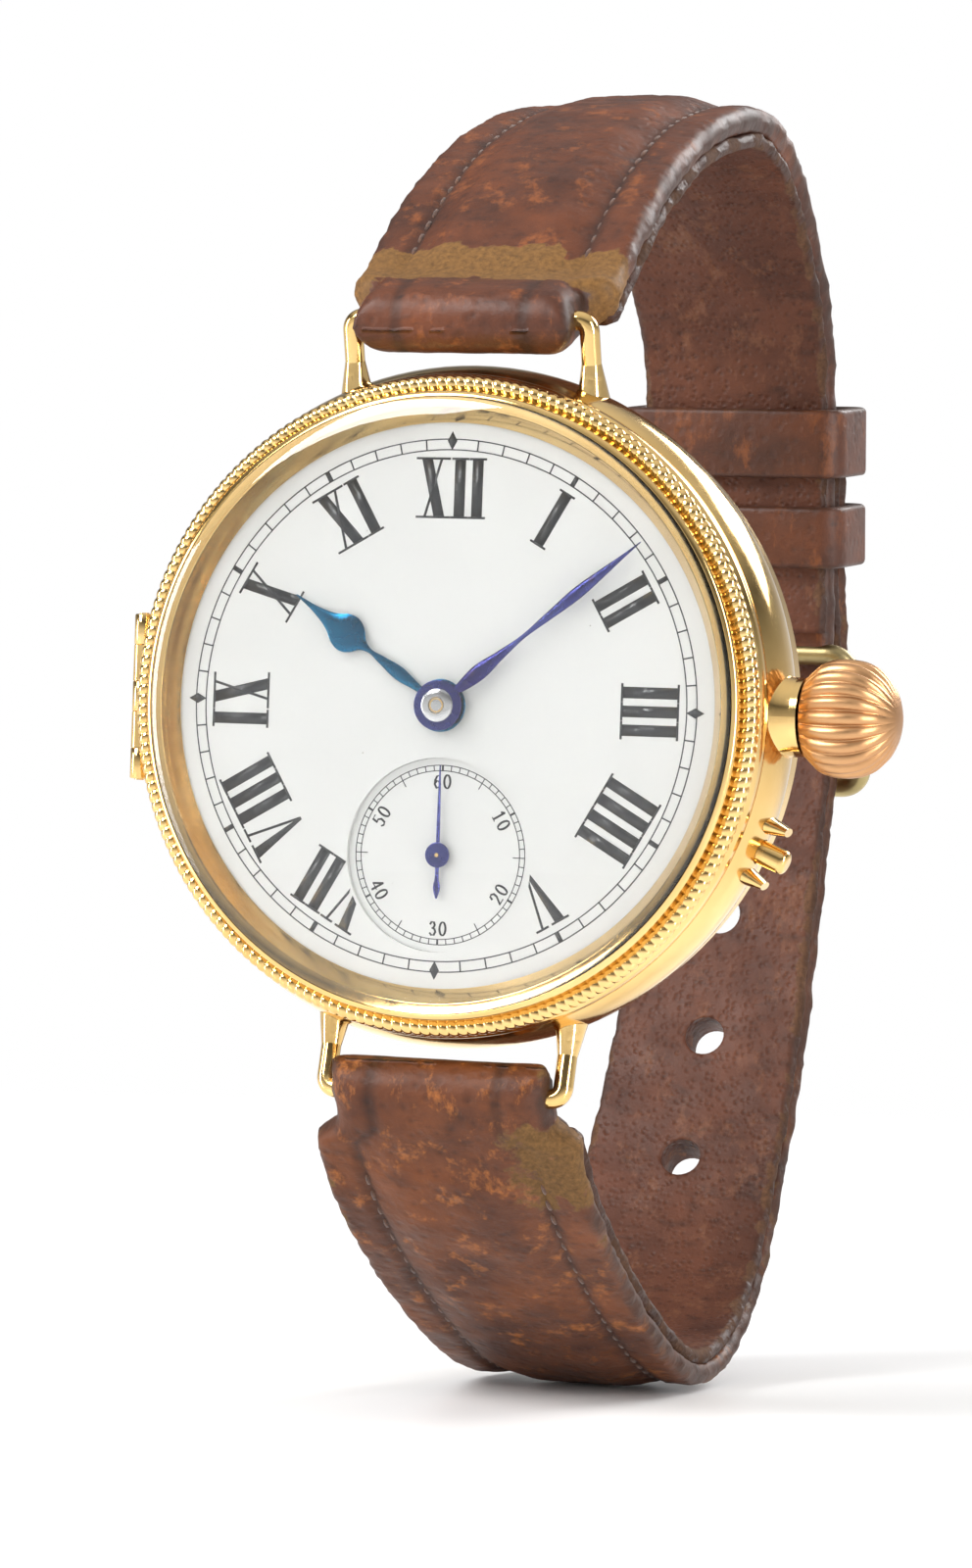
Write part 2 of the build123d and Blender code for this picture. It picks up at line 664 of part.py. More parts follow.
# Pendant tube: its flared boss sits on the band and the crown turns close to its end.
with BuildPart() as pendant_tube:
    with BuildSketch(Plane.XY):
        with BuildLine():
            boss = Polyline(
                (TUBE_END, DIAL_Y - STEM_FRONT - TUBE_BORE),
                (TUBE_END, DIAL_Y - STEM_FRONT - TUBE_RADIUS),
                (TUBE_END - 0.35, DIAL_Y - STEM_FRONT - TUBE_RADIUS),
            )
            flare = Spline(
                boss @ 1,
                (TUBE_END - 0.8, DIAL_Y - STEM_FRONT - TUBE_RADIUS - 0.05),
                (TUBE_END - 1.3, DIAL_Y - STEM_FRONT - TUBE_RADIUS - 0.25),
            )
            Polyline(
                flare @ 1,
                (TUBE_END - 1.3, DIAL_Y - STEM_FRONT - TUBE_BORE),
                (TUBE_END, DIAL_Y - STEM_FRONT - TUBE_BORE),
            )
        make_face()
    revolve(axis=Axis((0, DIAL_Y - STEM_FRONT, 0), (1, 0, 0)))
    add(case_middle.part, mode=Mode.SUBTRACT)

# Crown: an onion of revolution, hollow over the tube's end only enough to clear it.
with BuildPart() as crown:
    crown_mid = DIAL_Y - STEM_FRONT
    with BuildSketch(Plane.XY):
        with BuildLine():
            base = Polyline(
                (CROWN_START, crown_mid - STEM_RADIUS),
                (CROWN_START, crown_mid - CROWN_RADIUS * 0.72),
            )
            onion = Spline(
                base @ 1,
                (CROWN_START + CROWN_LENGTH * 0.14, crown_mid - CROWN_RADIUS * 0.91),
                (CROWN_START + CROWN_LENGTH * 0.45, crown_mid - CROWN_RADIUS),
                (CROWN_START + CROWN_LENGTH * 0.83, crown_mid - CROWN_RADIUS * 0.72),
                (CROWN_START + CROWN_LENGTH * 0.97, crown_mid - CROWN_RADIUS * 0.35),
                (CROWN_START + CROWN_LENGTH, crown_mid),
            )
            Polyline(
                onion @ 1,
                (CROWN_START + CROWN_LENGTH * 0.75, crown_mid),
                (CROWN_START + CROWN_LENGTH * 0.75, crown_mid - STEM_RADIUS),
                base @ 0,
            )
        make_face()
    revolve(axis=Axis((0, crown_mid, 0), (1, 0, 0)))


def stem_part(radius, start, end):
    """A cylinder on the stem's axis."""
    with BuildPart() as piece:
        with BuildSketch(stem_plane.offset(start)):
            Circle(radius)
        extrude(amount=end - start)
    return piece.part


stem_plane = Plane(origin=(0, DIAL_Y - STEM_FRONT, 0), x_dir=(0, 1, 0), z_dir=(1, 0, 0))
winding_stem = stem_part(STEM_RADIUS, STEM_END, CROWN_START + CROWN_LENGTH * 0.75)


def stem_wheel(radius, start, length, teeth):
    """A toothed sleeve on the stem, with an end face of shallow clutch teeth."""
    with BuildPart() as wheel:
        with BuildSketch(stem_plane.offset(start)):
            Circle(radius)
            Circle(STEM_RADIUS + RUNNING_FIT, mode=Mode.SUBTRACT)
            with PolarLocations(radius, teeth):
                Circle(radius * sin(radians(180 / teeth)) * 0.62, mode=Mode.SUBTRACT)
        extrude(amount=length)
    return wheel.part


winding_pinion = stem_wheel(WINDING_PINION_RADIUS, WINDING_PINION_BACK, WINDING_PINION_LENGTH, 14)
sliding_clutch = stem_wheel(CLUTCH_RADIUS, CLUTCH_FRONT - CLUTCH_LENGTH, CLUTCH_LENGTH, 10)

# Setting pin: rounded tip outside, a stop shoulder inside the band.
pin_start = SEAT_RADIUS - 1.6
with BuildPart() as set_pin:
    with BuildSketch(pin_plane.offset(pin_start)):
        Circle(SET_PIN_RADIUS)
    extrude(amount=CASE_RADIUS + SET_PIN_REACH - pin_start)
    fillet(set_pin.edges().sort_by(Axis(pin_plane.origin, pin_plane.z_dir))[-1], 0.3)

# ------------------------------------------------------------------------------ dial and hands
with BuildPart() as dial:
    add(disc(CENTRE, DIAL_RADIUS, -DIAL_THICKNESS, 0, DIAL_CENTRE_HOLE))
    add(
        disc(FOURTH, SECONDS_DIAL_RADIUS + 0.01, -DIAL_THICKNESS, 0),
        mode=Mode.SUBTRACT,
    )

SECONDS_DIAL_FRONT = -SECONDS_DIAL_SINK
seconds_dial = disc(
    FOURTH,
    SECONDS_DIAL_RADIUS,
    SECONDS_DIAL_FRONT - SECONDS_DIAL_THICKNESS,
    SECONDS_DIAL_FRONT,
    0.35,
)

with BuildPart() as dial_feet:
    for angle in (100, 215, 330):
        add(disc(polar(DIAL_FOOT_CIRCLE, angle), DIAL_FOOT_RADIUS, PLATE_BACK + 0.3, -DIAL_THICKNESS))


def hand(front, angle, boss_radius, bore, stations, centre=CENTRE):
    """A flat hand: a boss, and a blade whose (distance, half width) stations are joined by a curve."""
    direction, across = polar(1, angle), polar(1, angle + 90)

    def place(distance, offset):
        return (
            centre[0] + direction[0] * distance + across[0] * offset,
            centre[1] + direction[1] * distance + across[1] * offset,
        )

    with BuildPart() as blade:
        with BuildSketch(at(front)):
            with BuildLine():
                left = Spline(*[place(distance, half) for distance, half in stations])
                right = Spline(*[place(distance, -half) for distance, half in stations])
                Line(left @ 0, right @ 0)
                Line(left @ 1, right @ 1)
            make_face()
            with Locations(centre):
                Circle(boss_radius)
                Circle(bore, mode=Mode.SUBTRACT)
        extrude(amount=HAND_THICKNESS)
    return blade.part


HOUR_PIPE_BORE = CANNON_RADIUS + RUNNING_FIT
HOUR_PIPE_RADIUS = HOUR_PIPE_BORE + HOUR_PIPE_WALL
hour_hand = hand(
    HOUR_HAND_FRONT,
    HOUR_HAND_ANGLE,
    HAND_BOSS_RADIUS,
    HOUR_PIPE_RADIUS,
    [
        (1.05, 0.16),
        (1.8, 0.2),
        (3.0, 0.28),
        (4.3, 0.17),
        (5.0, 0.13),
        (5.35, 0.4),
        (5.9, 0.88),
        (6.5, 0.9),
        (7.1, 0.55),
        (8.0, 0.24),
        (HOUR_HAND_LENGTH, 0.03),
    ],
)
minute_hand = hand(
    MINUTE_HAND_FRONT,
    MINUTE_HAND_ANGLE,
    CANNON_RADIUS + 0.42,
    CANNON_RADIUS,
    [
        (1.0, 0.15),
        (1.8, 0.3),
        (2.8, 0.38),
        (4.0, 0.25),
        (5.4, 0.12),
        (7.2, 0.2),
        (9.0, 0.28),
        (10.8, 0.18),
        (12.0, 0.08),
        (MINUTE_HAND_LENGTH, 0.02),
    ],
)
seconds_hand = hand(
    SECONDS_HAND_FRONT,
    90,
    0.62,
    PIVOT_RADIUS,
    [
        (-SECONDS_TAIL, 0.02),
        (-1.85, 0.12),
        (-1.55, 0.17),
        (-1.2, 0.1),
        (-0.6, 0.09),
        (0.6, 0.09),
        (2.5, 0.07),
        (SECONDS_HAND_LENGTH, 0.02),
    ],
    FOURTH,
)

# --------------------------------------------------------------------------------- going train
barrel_line = bearing(BARREL, CENTRE)
CENTRE_PINION_PHASE = meshing_phase(barrel_line, BARREL_TEETH, CENTRE_PINION, barrel_line)
third_line = bearing(CENTRE, THIRD)
THIRD_PHASE = meshing_phase(third_line, CENTRE_TEETH, THIRD_PINION, third_line)
fourth_line = bearing(THIRD, FOURTH)
FOURTH_PHASE = meshing_phase(fourth_line, THIRD_TEETH, FOURTH_PINION, fourth_line)
escape_line = bearing(FOURTH, ESCAPE)
ESCAPE_PHASE = meshing_phase(escape_line, FOURTH_TEETH, ESCAPE_PINION, escape_line)
motion_line = bearing(CENTRE, MINUTE_WHEEL)
CANNON_MODULE = 2 * MOTION_DISTANCE / (CANNON_TEETH + MINUTE_WHEEL_TEETH)
HOUR_MODULE = 2 * MOTION_DISTANCE / (MINUTE_PINION + HOUR_WHEEL_TEETH)
MINUTE_WHEEL_PHASE = meshing_phase(motion_line, CANNON_TEETH, MINUTE_WHEEL_TEETH, motion_line)
HOUR_WHEEL_PHASE = meshing_phase(motion_line + 180, MINUTE_PINION, HOUR_WHEEL_TEETH, motion_line + 180)


def train_wheel(centre, level, teeth, module, phase, pinion, upper_end=PLATE_FRONT - 0.5):
    """Wheel, pinion and arbor in one piece; pinion is its (teeth, module, phase, level)."""
    leaves, pinion_module, pinion_phase, pinion_level = pinion
    half = WHEEL_THICKNESS / 2
    radius = module * teeth / 2
    with BuildPart() as wheel:
        add(gear(centre, teeth, module, phase, level - half, level + half))
        add(
            spokes(centre, radius * 0.3, radius * 0.82, 5, radius * 0.13, phase, level - half, level + half),
            mode=Mode.SUBTRACT,
        )
        reach = PINION_LENGTH / 2
        add(
            gear(
                centre,
                leaves,
                pinion_module,
                pinion_phase,
                pinion_level - reach,
                pinion_level + reach,
            )
        )
        add(arbor(centre, upper_end, BRIDGE_FRONT - 0.45))
    return wheel.part


with BuildPart() as centre_wheel:
    half_wheel = WHEEL_THICKNESS / 2
    centre_radius = CENTRE_MODULE * CENTRE_TEETH / 2
    add(
        gear(
            CENTRE,
            CENTRE_TEETH,
            CENTRE_MODULE,
            third_line,
            CENTRE_LEVEL - half_wheel,
            CENTRE_LEVEL + half_wheel,
        )
    )
    add(
        spokes(
            CENTRE,
            centre_radius * 0.3,
            centre_radius * 0.82,
            5,
            0.5,
            third_line,
            CENTRE_LEVEL - half_wheel,
            CENTRE_LEVEL + half_wheel,
        ),
        mode=Mode.SUBTRACT,
    )
    add(
        gear(
            CENTRE,
            CENTRE_PINION,
            BARREL_MODULE,
            CENTRE_PINION_PHASE,
            CENTRE_LEVEL - half_wheel,
            BARREL_FRONT - 0.1,
        )
    )
    add(disc(CENTRE, CENTRE_ARBOR_RADIUS, BRIDGE_FRONT + 0.08, 0.98))
    add(disc(CENTRE, PIVOT_RADIUS * 1.6, BRIDGE_FRONT - 0.45, BRIDGE_FRONT + 0.08))

third_wheel = train_wheel(
    THIRD,
    THIRD_LEVEL,
    THIRD_TEETH,
    THIRD_MODULE,
    fourth_line,
    (THIRD_PINION, CENTRE_MODULE, THIRD_PHASE, CENTRE_LEVEL + 0.1),
)
fourth_wheel = train_wheel(
    FOURTH,
    FOURTH_LEVEL,
    FOURTH_TEETH,
    FOURTH_MODULE,
    escape_line,
    (FOURTH_PINION, THIRD_MODULE, FOURTH_PHASE, THIRD_LEVEL),
    SECONDS_HAND_FRONT + HAND_THICKNESS + 0.05,
)

with BuildPart() as cannon_pinion:
    add(
        gear(
            CENTRE,
            CANNON_TEETH,
            CANNON_MODULE,
            motion_line,
            MINUTE_WHEEL_LEVEL - half_wheel,
            MINUTE_WHEEL_LEVEL + half_wheel,
        )
    )
    add(
        disc(
            CENTRE,
            CANNON_RADIUS,
            MINUTE_WHEEL_LEVEL + half_wheel,
            MINUTE_HAND_FRONT + HAND_THICKNESS + 0.06,
        )
    )
    add(disc(CENTRE, CENTRE_ARBOR_RADIUS, PLATE_FRONT, 1.2), mode=Mode.SUBTRACT)

with BuildPart() as hour_wheel:
    add(
        gear(
            CENTRE,
            HOUR_WHEEL_TEETH,
            HOUR_MODULE,
            HOUR_WHEEL_PHASE,
            HOUR_WHEEL_LEVEL - half_wheel,
            HOUR_WHEEL_LEVEL + half_wheel,
        )
    )
    add(
        disc(
            CENTRE,
            HOUR_PIPE_RADIUS,
            HOUR_WHEEL_LEVEL - half_wheel,
            HOUR_HAND_FRONT + HAND_THICKNESS + 0.05,
        )
    )
    add(disc(CENTRE, HOUR_PIPE_BORE, PLATE_FRONT, 1.2), mode=Mode.SUBTRACT)

MINUTE_POST_RADIUS = 0.25
with BuildPart() as minute_wheel:
    add(
        gear(
            MINUTE_WHEEL,
            MINUTE_WHEEL_TEETH,
            CANNON_MODULE,
            MINUTE_WHEEL_PHASE,
            MINUTE_WHEEL_LEVEL - half_wheel,
            MINUTE_WHEEL_LEVEL + half_wheel,
            MINUTE_POST_RADIUS + RUNNING_FIT,
        )
    )
    add(
        gear(
            MINUTE_WHEEL,
            MINUTE_PINION,
            HOUR_MODULE,
            motion_line + 180,
            MINUTE_WHEEL_LEVEL + half_wheel,
            HOUR_WHEEL_LEVEL + half_wheel,
            MINUTE_POST_RADIUS + RUNNING_FIT,
        )
    )

with BuildPart() as escape_wheel:
    # club-like teeth that lean the way the wheel turns
    corners = []
    for tooth in range(ESCAPE_TEETH):
        for share, radius in ((0, 0.76), (0.18, 1.0), (0.3, 1.0), (0.42, 0.76)):
            corners.append(
                beyond(ESCAPE, ESCAPE_RADIUS * radius, LINE_OF_LEVER + 360 * (tooth + share) / ESCAPE_TEETH)
            )
    with BuildSketch(at(ESCAPE_LEVEL - half_wheel)):
        with BuildLine():
            Polyline(*corners, close=True)
        make_face()
    extrude(amount=WHEEL_THICKNESS)
    add(
        spokes(
            ESCAPE,
            ESCAPE_RADIUS * 0.25,
            ESCAPE_RADIUS * 0.62,
            4,
            0.26,
            0,
            ESCAPE_LEVEL - half_wheel,
            ESCAPE_LEVEL + half_wheel,
        ),
        mode=Mode.SUBTRACT,
    )
    add(
        gear(
            ESCAPE,
            ESCAPE_PINION,
            FOURTH_MODULE,
            ESCAPE_PHASE,
            FOURTH_LEVEL - 0.15,
            FOURTH_LEVEL + 0.15,
        )
    )
    add(arbor(ESCAPE, PLATE_FRONT - 0.5, BRIDGE_FRONT - 0.45))

# ------------------------------------------------------------------------------------- escapement
with BuildPart() as pallet_fork:
    lever_direction = LINE_OF_LEVER
    fork_end = beyond(PALLET, LEVER_LENGTH - 0.75, lever_direction)
    with BuildSketch(at(ESCAPE_LEVEL - 0.08)):
        with Locations(PALLET):
            Circle(0.34)
        for side in (1, -1):
            # an arm towards each side of the escape wheel, ending in its pallet stone
            arm_end = beyond(PALLET, 1.5, lever_direction + side * 100)
            with Locations(((PALLET[0] + arm_end[0]) / 2, (PALLET[1] + arm_end[1]) / 2)):
                Rectangle(1.6, 0.26, rotation=lever_direction + side * 100)
            tine = beyond(fork_end, 0.25, lever_direction + side * 50)
            with Locations(tine):
                Rectangle(0.45, 0.12, rotation=lever_direction + side * 20)
        with Locations(beyond(PALLET, (LEVER_LENGTH - 0.75) / 2, lever_direction)):
            Rectangle(LEVER_LENGTH - 0.75, 0.24, rotation=lever_direction)
    extrude(amount=0.16)
    add(disc(PALLET, PIVOT_RADIUS, PALLET_COCK_FRONT - 0.15, PLATE_BACK + 0.4))

BALANCE_HALF = 0.18
with BuildPart() as balance_wheel:
    add(disc(BALANCE, BALANCE_RADIUS, BALANCE_LEVEL - BALANCE_HALF, BALANCE_LEVEL + BALANCE_HALF))
    add(
        spokes(
            BALANCE,
            0.55,
            BALANCE_RADIUS - BALANCE_RIM,
            2,
            0.55,
            LINE_OF_LEVER,
            BALANCE_LEVEL - BALANCE_HALF,
            BALANCE_LEVEL + BALANCE_HALF,
        ),
        mode=Mode.SUBTRACT,
    )
    # timing screws stand on the rim
    for number in range(BALANCE_SCREWS):
        angle = LINE_OF_LEVER + 360 * (number + 0.5) / BALANCE_SCREWS
        screw_plane = Plane(
            origin=(BALANCE[0], DIAL_Y - BALANCE_LEVEL, BALANCE[1]),
            x_dir=(0, 1, 0),
            z_dir=(cos(radians(angle)), 0, sin(radians(angle))),
        )
        with BuildSketch(screw_plane.offset(BALANCE_RADIUS - 0.1)):
            Circle(0.16)
        extrude(amount=0.34)
    add(disc(BALANCE, STAFF_RADIUS, BRIDGE_FRONT - 0.45, PLATE_BACK + 0.45))
    # impulse roller at the lever's level
    add(disc(BALANCE, 0.42, ESCAPE_LEVEL - 0.3, ESCAPE_LEVEL - 0.12))

hairspring = spiral_strip(
    BALANCE,
    STAFF_RADIUS + 0.15,
    HAIRSPRING_RADIUS,
    8,
    0.04,
    BALANCE_LEVEL - BALANCE_HALF - 0.3,
    BALANCE_LEVEL - BALANCE_HALF - 0.14,
)

# ------------------------------------------------------------------------- barrel and winding work
BARREL_DRUM = BARREL_MODULE * (BARREL_TEETH / 2 - 1.1)
BARREL_ARBOR_RADIUS = 0.55
with BuildPart() as barrel:
    add(gear(BARREL, BARREL_TEETH, BARREL_MODULE, barrel_line, BARREL_FRONT - 0.35, BARREL_FRONT))
    add(disc(BARREL, BARREL_DRUM, BARREL_BACK, BARREL_FRONT - 0.2))
    add(
        disc(BARREL, BARREL_DRUM - 0.3, BARREL_BACK + 0.2, BARREL_FRONT - 0.2),
        mode=Mode.SUBTRACT,
    )
    add(
        disc(BARREL, BARREL_ARBOR_RADIUS + RUNNING_FIT, BARREL_BACK - 1, BARREL_FRONT + 1),
        mode=Mode.SUBTRACT,
    )

MAINSPRING_INNER = BARREL_ARBOR_RADIUS + 0.35
mainspring = spiral_strip(
    BARREL,
    MAINSPRING_INNER,
    BARREL_DRUM - 0.55,
    9,
    0.14,
    BARREL_BACK + 0.26,
    BARREL_FRONT - 0.26,
)

ratchet_line = bearing(CROWN_WHEEL, BARREL)
RATCHET_PHASE = meshing_phase(ratchet_line, CROWN_WHEEL_TEETH, RATCHET_TEETH, ratchet_line)
WINDING_HALF = 0.18
SQUARE = BARREL_ARBOR_RADIUS * 1.1
with BuildPart() as barrel_arbor:
    add(disc(BARREL, BARREL_ARBOR_RADIUS, BRIDGE_FRONT - BRIDGE_FLOOR, PLATE_BACK + 0.5))
    with BuildSketch(at(WINDING_LEVEL - WINDING_HALF)):
        with Locations(BARREL):
            Rectangle(SQUARE, SQUARE)
    extrude(amount=BRIDGE_FRONT - BRIDGE_FLOOR - WINDING_LEVEL + WINDING_HALF)

with BuildPart() as ratchet_wheel:
    add(
        gear(
            BARREL,
            RATCHET_TEETH,
            WINDING_MODULE,
            RATCHET_PHASE,
            WINDING_LEVEL - WINDING_HALF,
            WINDING_LEVEL + WINDING_HALF,
        )
    )
    with BuildSketch(at(WINDING_LEVEL - WINDING_HALF)):
        with Locations(BARREL):
            Rectangle(SQUARE, SQUARE)
    extrude(amount=2 * WINDING_HALF, mode=Mode.SUBTRACT)

SCREW_HEAD = 0.16
WHEEL_TOP = WINDING_LEVEL - WINDING_HALF
ratchet_screw = slotted_screw(BARREL, 1.1, WHEEL_TOP - SCREW_HEAD, WHEEL_TOP, 0.01, WHEEL_TOP + 0.01)
CROWN_CORE_RADIUS = 0.9
with BuildPart() as crown_wheel:
    add(
        gear(
            CROWN_WHEEL,
            CROWN_WHEEL_TEETH,
            WINDING_MODULE,
            ratchet_line,
            WINDING_LEVEL - WINDING_HALF,
            WINDING_LEVEL + WINDING_HALF,
            CROWN_CORE_RADIUS + RUNNING_FIT,
        )
    )
crown_wheel_screw = slotted_screw(
    CROWN_WHEEL,
    1.45,
    WHEEL_TOP - SCREW_HEAD - 0.03,
    WHEEL_TOP - 0.03,
    CROWN_CORE_RADIUS,
    BRIDGE_FRONT - BRIDGE_FLOOR,
)

# ------------------------------------------------------------------------ plate, bridges, jewels
POCKET_WIDTH = 2 * (WINDING_PINION_RADIUS + 0.15)
POCKET_START = STEM_END - 0.3
POCKET_FRONT = STEM_FRONT + WINDING_PINION_RADIUS + 0.12
HOLE_FIT = 0.01
PALLET_POST_RADIUS = 0.42
PALLET_POSTS = [beyond(PALLET, 2.0, LINE_OF_LEVER + side * 90) for side in (1, -1)]
PLATE_JEWELS = [THIRD, FOURTH, ESCAPE, PALLET, BALANCE]
JEWEL_HOLE = PIVOT_RADIUS + 0.03

with BuildPart() as main_plate:
    add(disc(CENTRE, FLANGE_RADIUS, LEDGE_FRONT, PLATE_FRONT))
    add(disc(CENTRE, PLATE_RADIUS, PLATE_BACK, LEDGE_FRONT))
    # pocket for the winding pinion and clutch, open to the stem
    with BuildSketch(at(PLATE_BACK)):
        with Locations((POCKET_START, 0)):
            Rectangle(FLANGE_RADIUS, POCKET_WIDTH, align=(Align.MIN, Align.CENTER))
    extrude(amount=POCKET_FRONT - PLATE_BACK, mode=Mode.SUBTRACT)
    # slot for the setting pin
    with BuildSketch(pin_plane.offset(SEAT_RADIUS - 2.8)):
        Circle(SET_PIN_RADIUS + 0.1)
    extrude(amount=4, mode=Mode.SUBTRACT)
    add(disc(CENTRE, CENTRE_ARBOR_RADIUS + RUNNING_FIT, PLATE_BACK - 1, PLATE_FRONT + 1), mode=Mode.SUBTRACT)
    add(
        disc(BARREL, BARREL_ARBOR_RADIUS + RUNNING_FIT, PLATE_BACK - 1, PLATE_BACK + 0.55),
        mode=Mode.SUBTRACT,
    )
    for centre in PLATE_JEWELS:
        add(disc(centre, JEWEL_RADIUS, PLATE_BACK - 1, PLATE_BACK + 0.5), mode=Mode.SUBTRACT)
    add(disc(FOURTH, JEWEL_HOLE, PLATE_BACK, PLATE_FRONT + 1), mode=Mode.SUBTRACT)
    for angle in (100, 215, 330):
        add(
            disc(
                polar(DIAL_FOOT_CIRCLE, angle),
                DIAL_FOOT_RADIUS + HOLE_FIT,
                PLATE_BACK - 1,
                PLATE_FRONT + 1,
            ),
            mode=Mode.SUBTRACT,
        )
    add(disc(MINUTE_WHEEL, MINUTE_POST_RADIUS, PLATE_FRONT, HOUR_WHEEL_LEVEL + 0.1))


def ring_sector(inner, outer, start, end, back, front):
    """Part of a flat ring about the dial's axis, between two angles."""
    middle = (start + end) / 2
    with BuildPart() as sector:
        with BuildSketch(at(back)):
            with BuildLine():
                far = ThreePointArc(polar(outer, start), polar(outer, middle), polar(outer, end))
                near = ThreePointArc(polar(inner, start), polar(inner, middle), polar(inner, end))
                Line(far @ 0, near @ 0)
                Line(far @ 1, near @ 1)
            make_face()
        extrude(amount=front - back)
    return sector.part


FOOT_INNER = BRIDGE_RADIUS - 1.05
FOOT_FRONT = PLATE_BACK
BARREL_BRIDGE_EDGE = (-3.2, -3.15)
with BuildPart() as barrel_bridge:
    with BuildSketch(at(BRIDGE_BACK)):
        Circle(BRIDGE_RADIUS)
        with Locations(BARREL_BRIDGE_EDGE):
            Rectangle(40, 40, align=(Align.MIN, Align.MIN), mode=Mode.INTERSECT)
    extrude(amount=BRIDGE_FRONT - BRIDGE_BACK)
    for start, end in ((-10, -7.6), (7.6, 102)):
        add(ring_sector(FOOT_INNER, BRIDGE_RADIUS, start, end, BRIDGE_FRONT, FOOT_FRONT))
    # wells for the ratchet and crown wheels, over a thin floor
    ratchet_tip = WINDING_MODULE * (RATCHET_TEETH / 2 + 0.5)
    crown_tip = WINDING_MODULE * (CROWN_WHEEL_TEETH / 2 + 0.5)
    for centre, tip in ((BARREL, ratchet_tip), (CROWN_WHEEL, crown_tip)):
        add(
            disc(centre, tip + 0.12, BRIDGE_BACK - 1, BRIDGE_FRONT - BRIDGE_FLOOR),
            mode=Mode.SUBTRACT,
        )
    add(disc(BARREL, BARREL_ARBOR_RADIUS + RUNNING_FIT, BRIDGE_BACK, BRIDGE_FRONT + 1), mode=Mode.SUBTRACT)
    with BuildSketch(at(BRIDGE_FRONT - BRIDGE_FLOOR - 0.1)):
        with Locations((WINDING_PINION_BACK - 0.15, 0)):
            Rectangle(WINDING_PINION_LENGTH + 0.3, POCKET_WIDTH - 0.6, align=(Align.MIN, Align.CENTER))
    extrude(amount=BRIDGE_FLOOR + 0.2, mode=Mode.SUBTRACT)
    add(disc(CENTRE, JEWEL_RADIUS, BRIDGE_FRONT - 0.5, BRIDGE_FRONT + 1), mode=Mode.SUBTRACT)
    # seat of the click's stud
    click_seat = beyond(BARREL, ratchet_tip + CLICK_OFFSET, CLICK_BEARING)
    add(disc(click_seat, CLICK_STUD + HOLE_FIT, BRIDGE_BACK - 1, BRIDGE_BACK + 0.3), mode=Mode.SUBTRACT)

TRAIN_BRIDGE_EDGE = -3.35
with BuildPart() as train_bridge:
    with BuildSketch(at(BRIDGE_BACK)):
        Circle(BRIDGE_RADIUS)
        with Locations((-4.55, TRAIN_BRIDGE_EDGE)):
            Rectangle(40, 40, align=(Align.MIN, Align.MAX), mode=Mode.INTERSECT)
    extrude(amount=BRIDGE_FRONT - BRIDGE_BACK)
    for start, end in ((-108, -66), (-48, -35)):
        add(ring_sector(FOOT_INNER, BRIDGE_RADIUS, start, end, BRIDGE_FRONT, FOOT_FRONT))
    for centre in (THIRD, FOURTH, ESCAPE):
        add(disc(centre, JEWEL_RADIUS, BRIDGE_BACK - 1, BRIDGE_FRONT + 1), mode=Mode.SUBTRACT)

BALANCE_ANGLE = bearing(CENTRE, BALANCE)
BALANCE_FOOT_INNER = hypot(*BALANCE) + BALANCE_RADIUS + 0.34
COCK_HALF_ANGLE = 16
REGULATOR_SEAT = 0.95
with BuildPart() as balance_cock:
    add(
        ring_sector(
            BALANCE_FOOT_INNER,
            BRIDGE_RADIUS,
            BALANCE_ANGLE - COCK_HALF_ANGLE,
            BALANCE_ANGLE + COCK_HALF_ANGLE,
            BRIDGE_BACK,
            FOOT_FRONT,
        )
    )
    with BuildSketch(at(BRIDGE_BACK)):
        with BuildLine():
            cock_start = BALANCE_FOOT_INNER + 0.3
            Polyline(
                polar(cock_start, BALANCE_ANGLE - COCK_HALF_ANGLE),
                beyond(BALANCE, 1.3, BALANCE_ANGLE - 90),
                beyond(BALANCE, 1.3, BALANCE_ANGLE + 90),
                polar(cock_start, BALANCE_ANGLE + COCK_HALF_ANGLE),
                close=True,
            )
        make_face()
        with Locations(BALANCE):
            Circle(1.3)
    extrude(amount=BRIDGE_FRONT - BRIDGE_BACK)
    add(disc(BALANCE, JEWEL_RADIUS, BRIDGE_BACK - 1, BRIDGE_FRONT + 1), mode=Mode.SUBTRACT)

# Regulator: a ring round the upper balance jewel with an index and a tail.
with BuildPart() as regulator:
    regulator_front = BRIDGE_BACK - 0.03
    regulator_back = regulator_front - 0.15
    with BuildSketch(at(regulator_back)):
        with Locations(BALANCE):
            Circle(REGULATOR_SEAT)
        with Locations(beyond(BALANCE, 1.9, BALANCE_ANGLE)):
            Rectangle(2.4, 0.3, rotation=BALANCE_ANGLE)
        with Locations(beyond(BALANCE, 1.2, BALANCE_ANGLE + 180)):
            Rectangle(1.0, 0.4, rotation=BALANCE_ANGLE)
        with Locations(BALANCE):
            Circle(JEWEL_RADIUS, mode=Mode.SUBTRACT)
    extrude(amount=regulator_front - regulator_back)

with BuildPart() as pallet_cock:
    with BuildSketch(at(PALLET_COCK_FRONT - PALLET_COCK_THICKNESS)):
        with Locations(PALLET):
            Rectangle(4.0, 0.9, rotation=LINE_OF_LEVER + 90)
        with Locations(*PALLET_POSTS):
            Circle(PALLET_POST_RADIUS + 0.15)
        with Locations(PALLET):
            Circle(JEWEL_HOLE, mode=Mode.SUBTRACT)
    extrude(amount=PALLET_COCK_THICKNESS)
    for post in PALLET_POSTS:
        add(disc(post, PALLET_POST_RADIUS, PALLET_COCK_FRONT, PLATE_BACK))

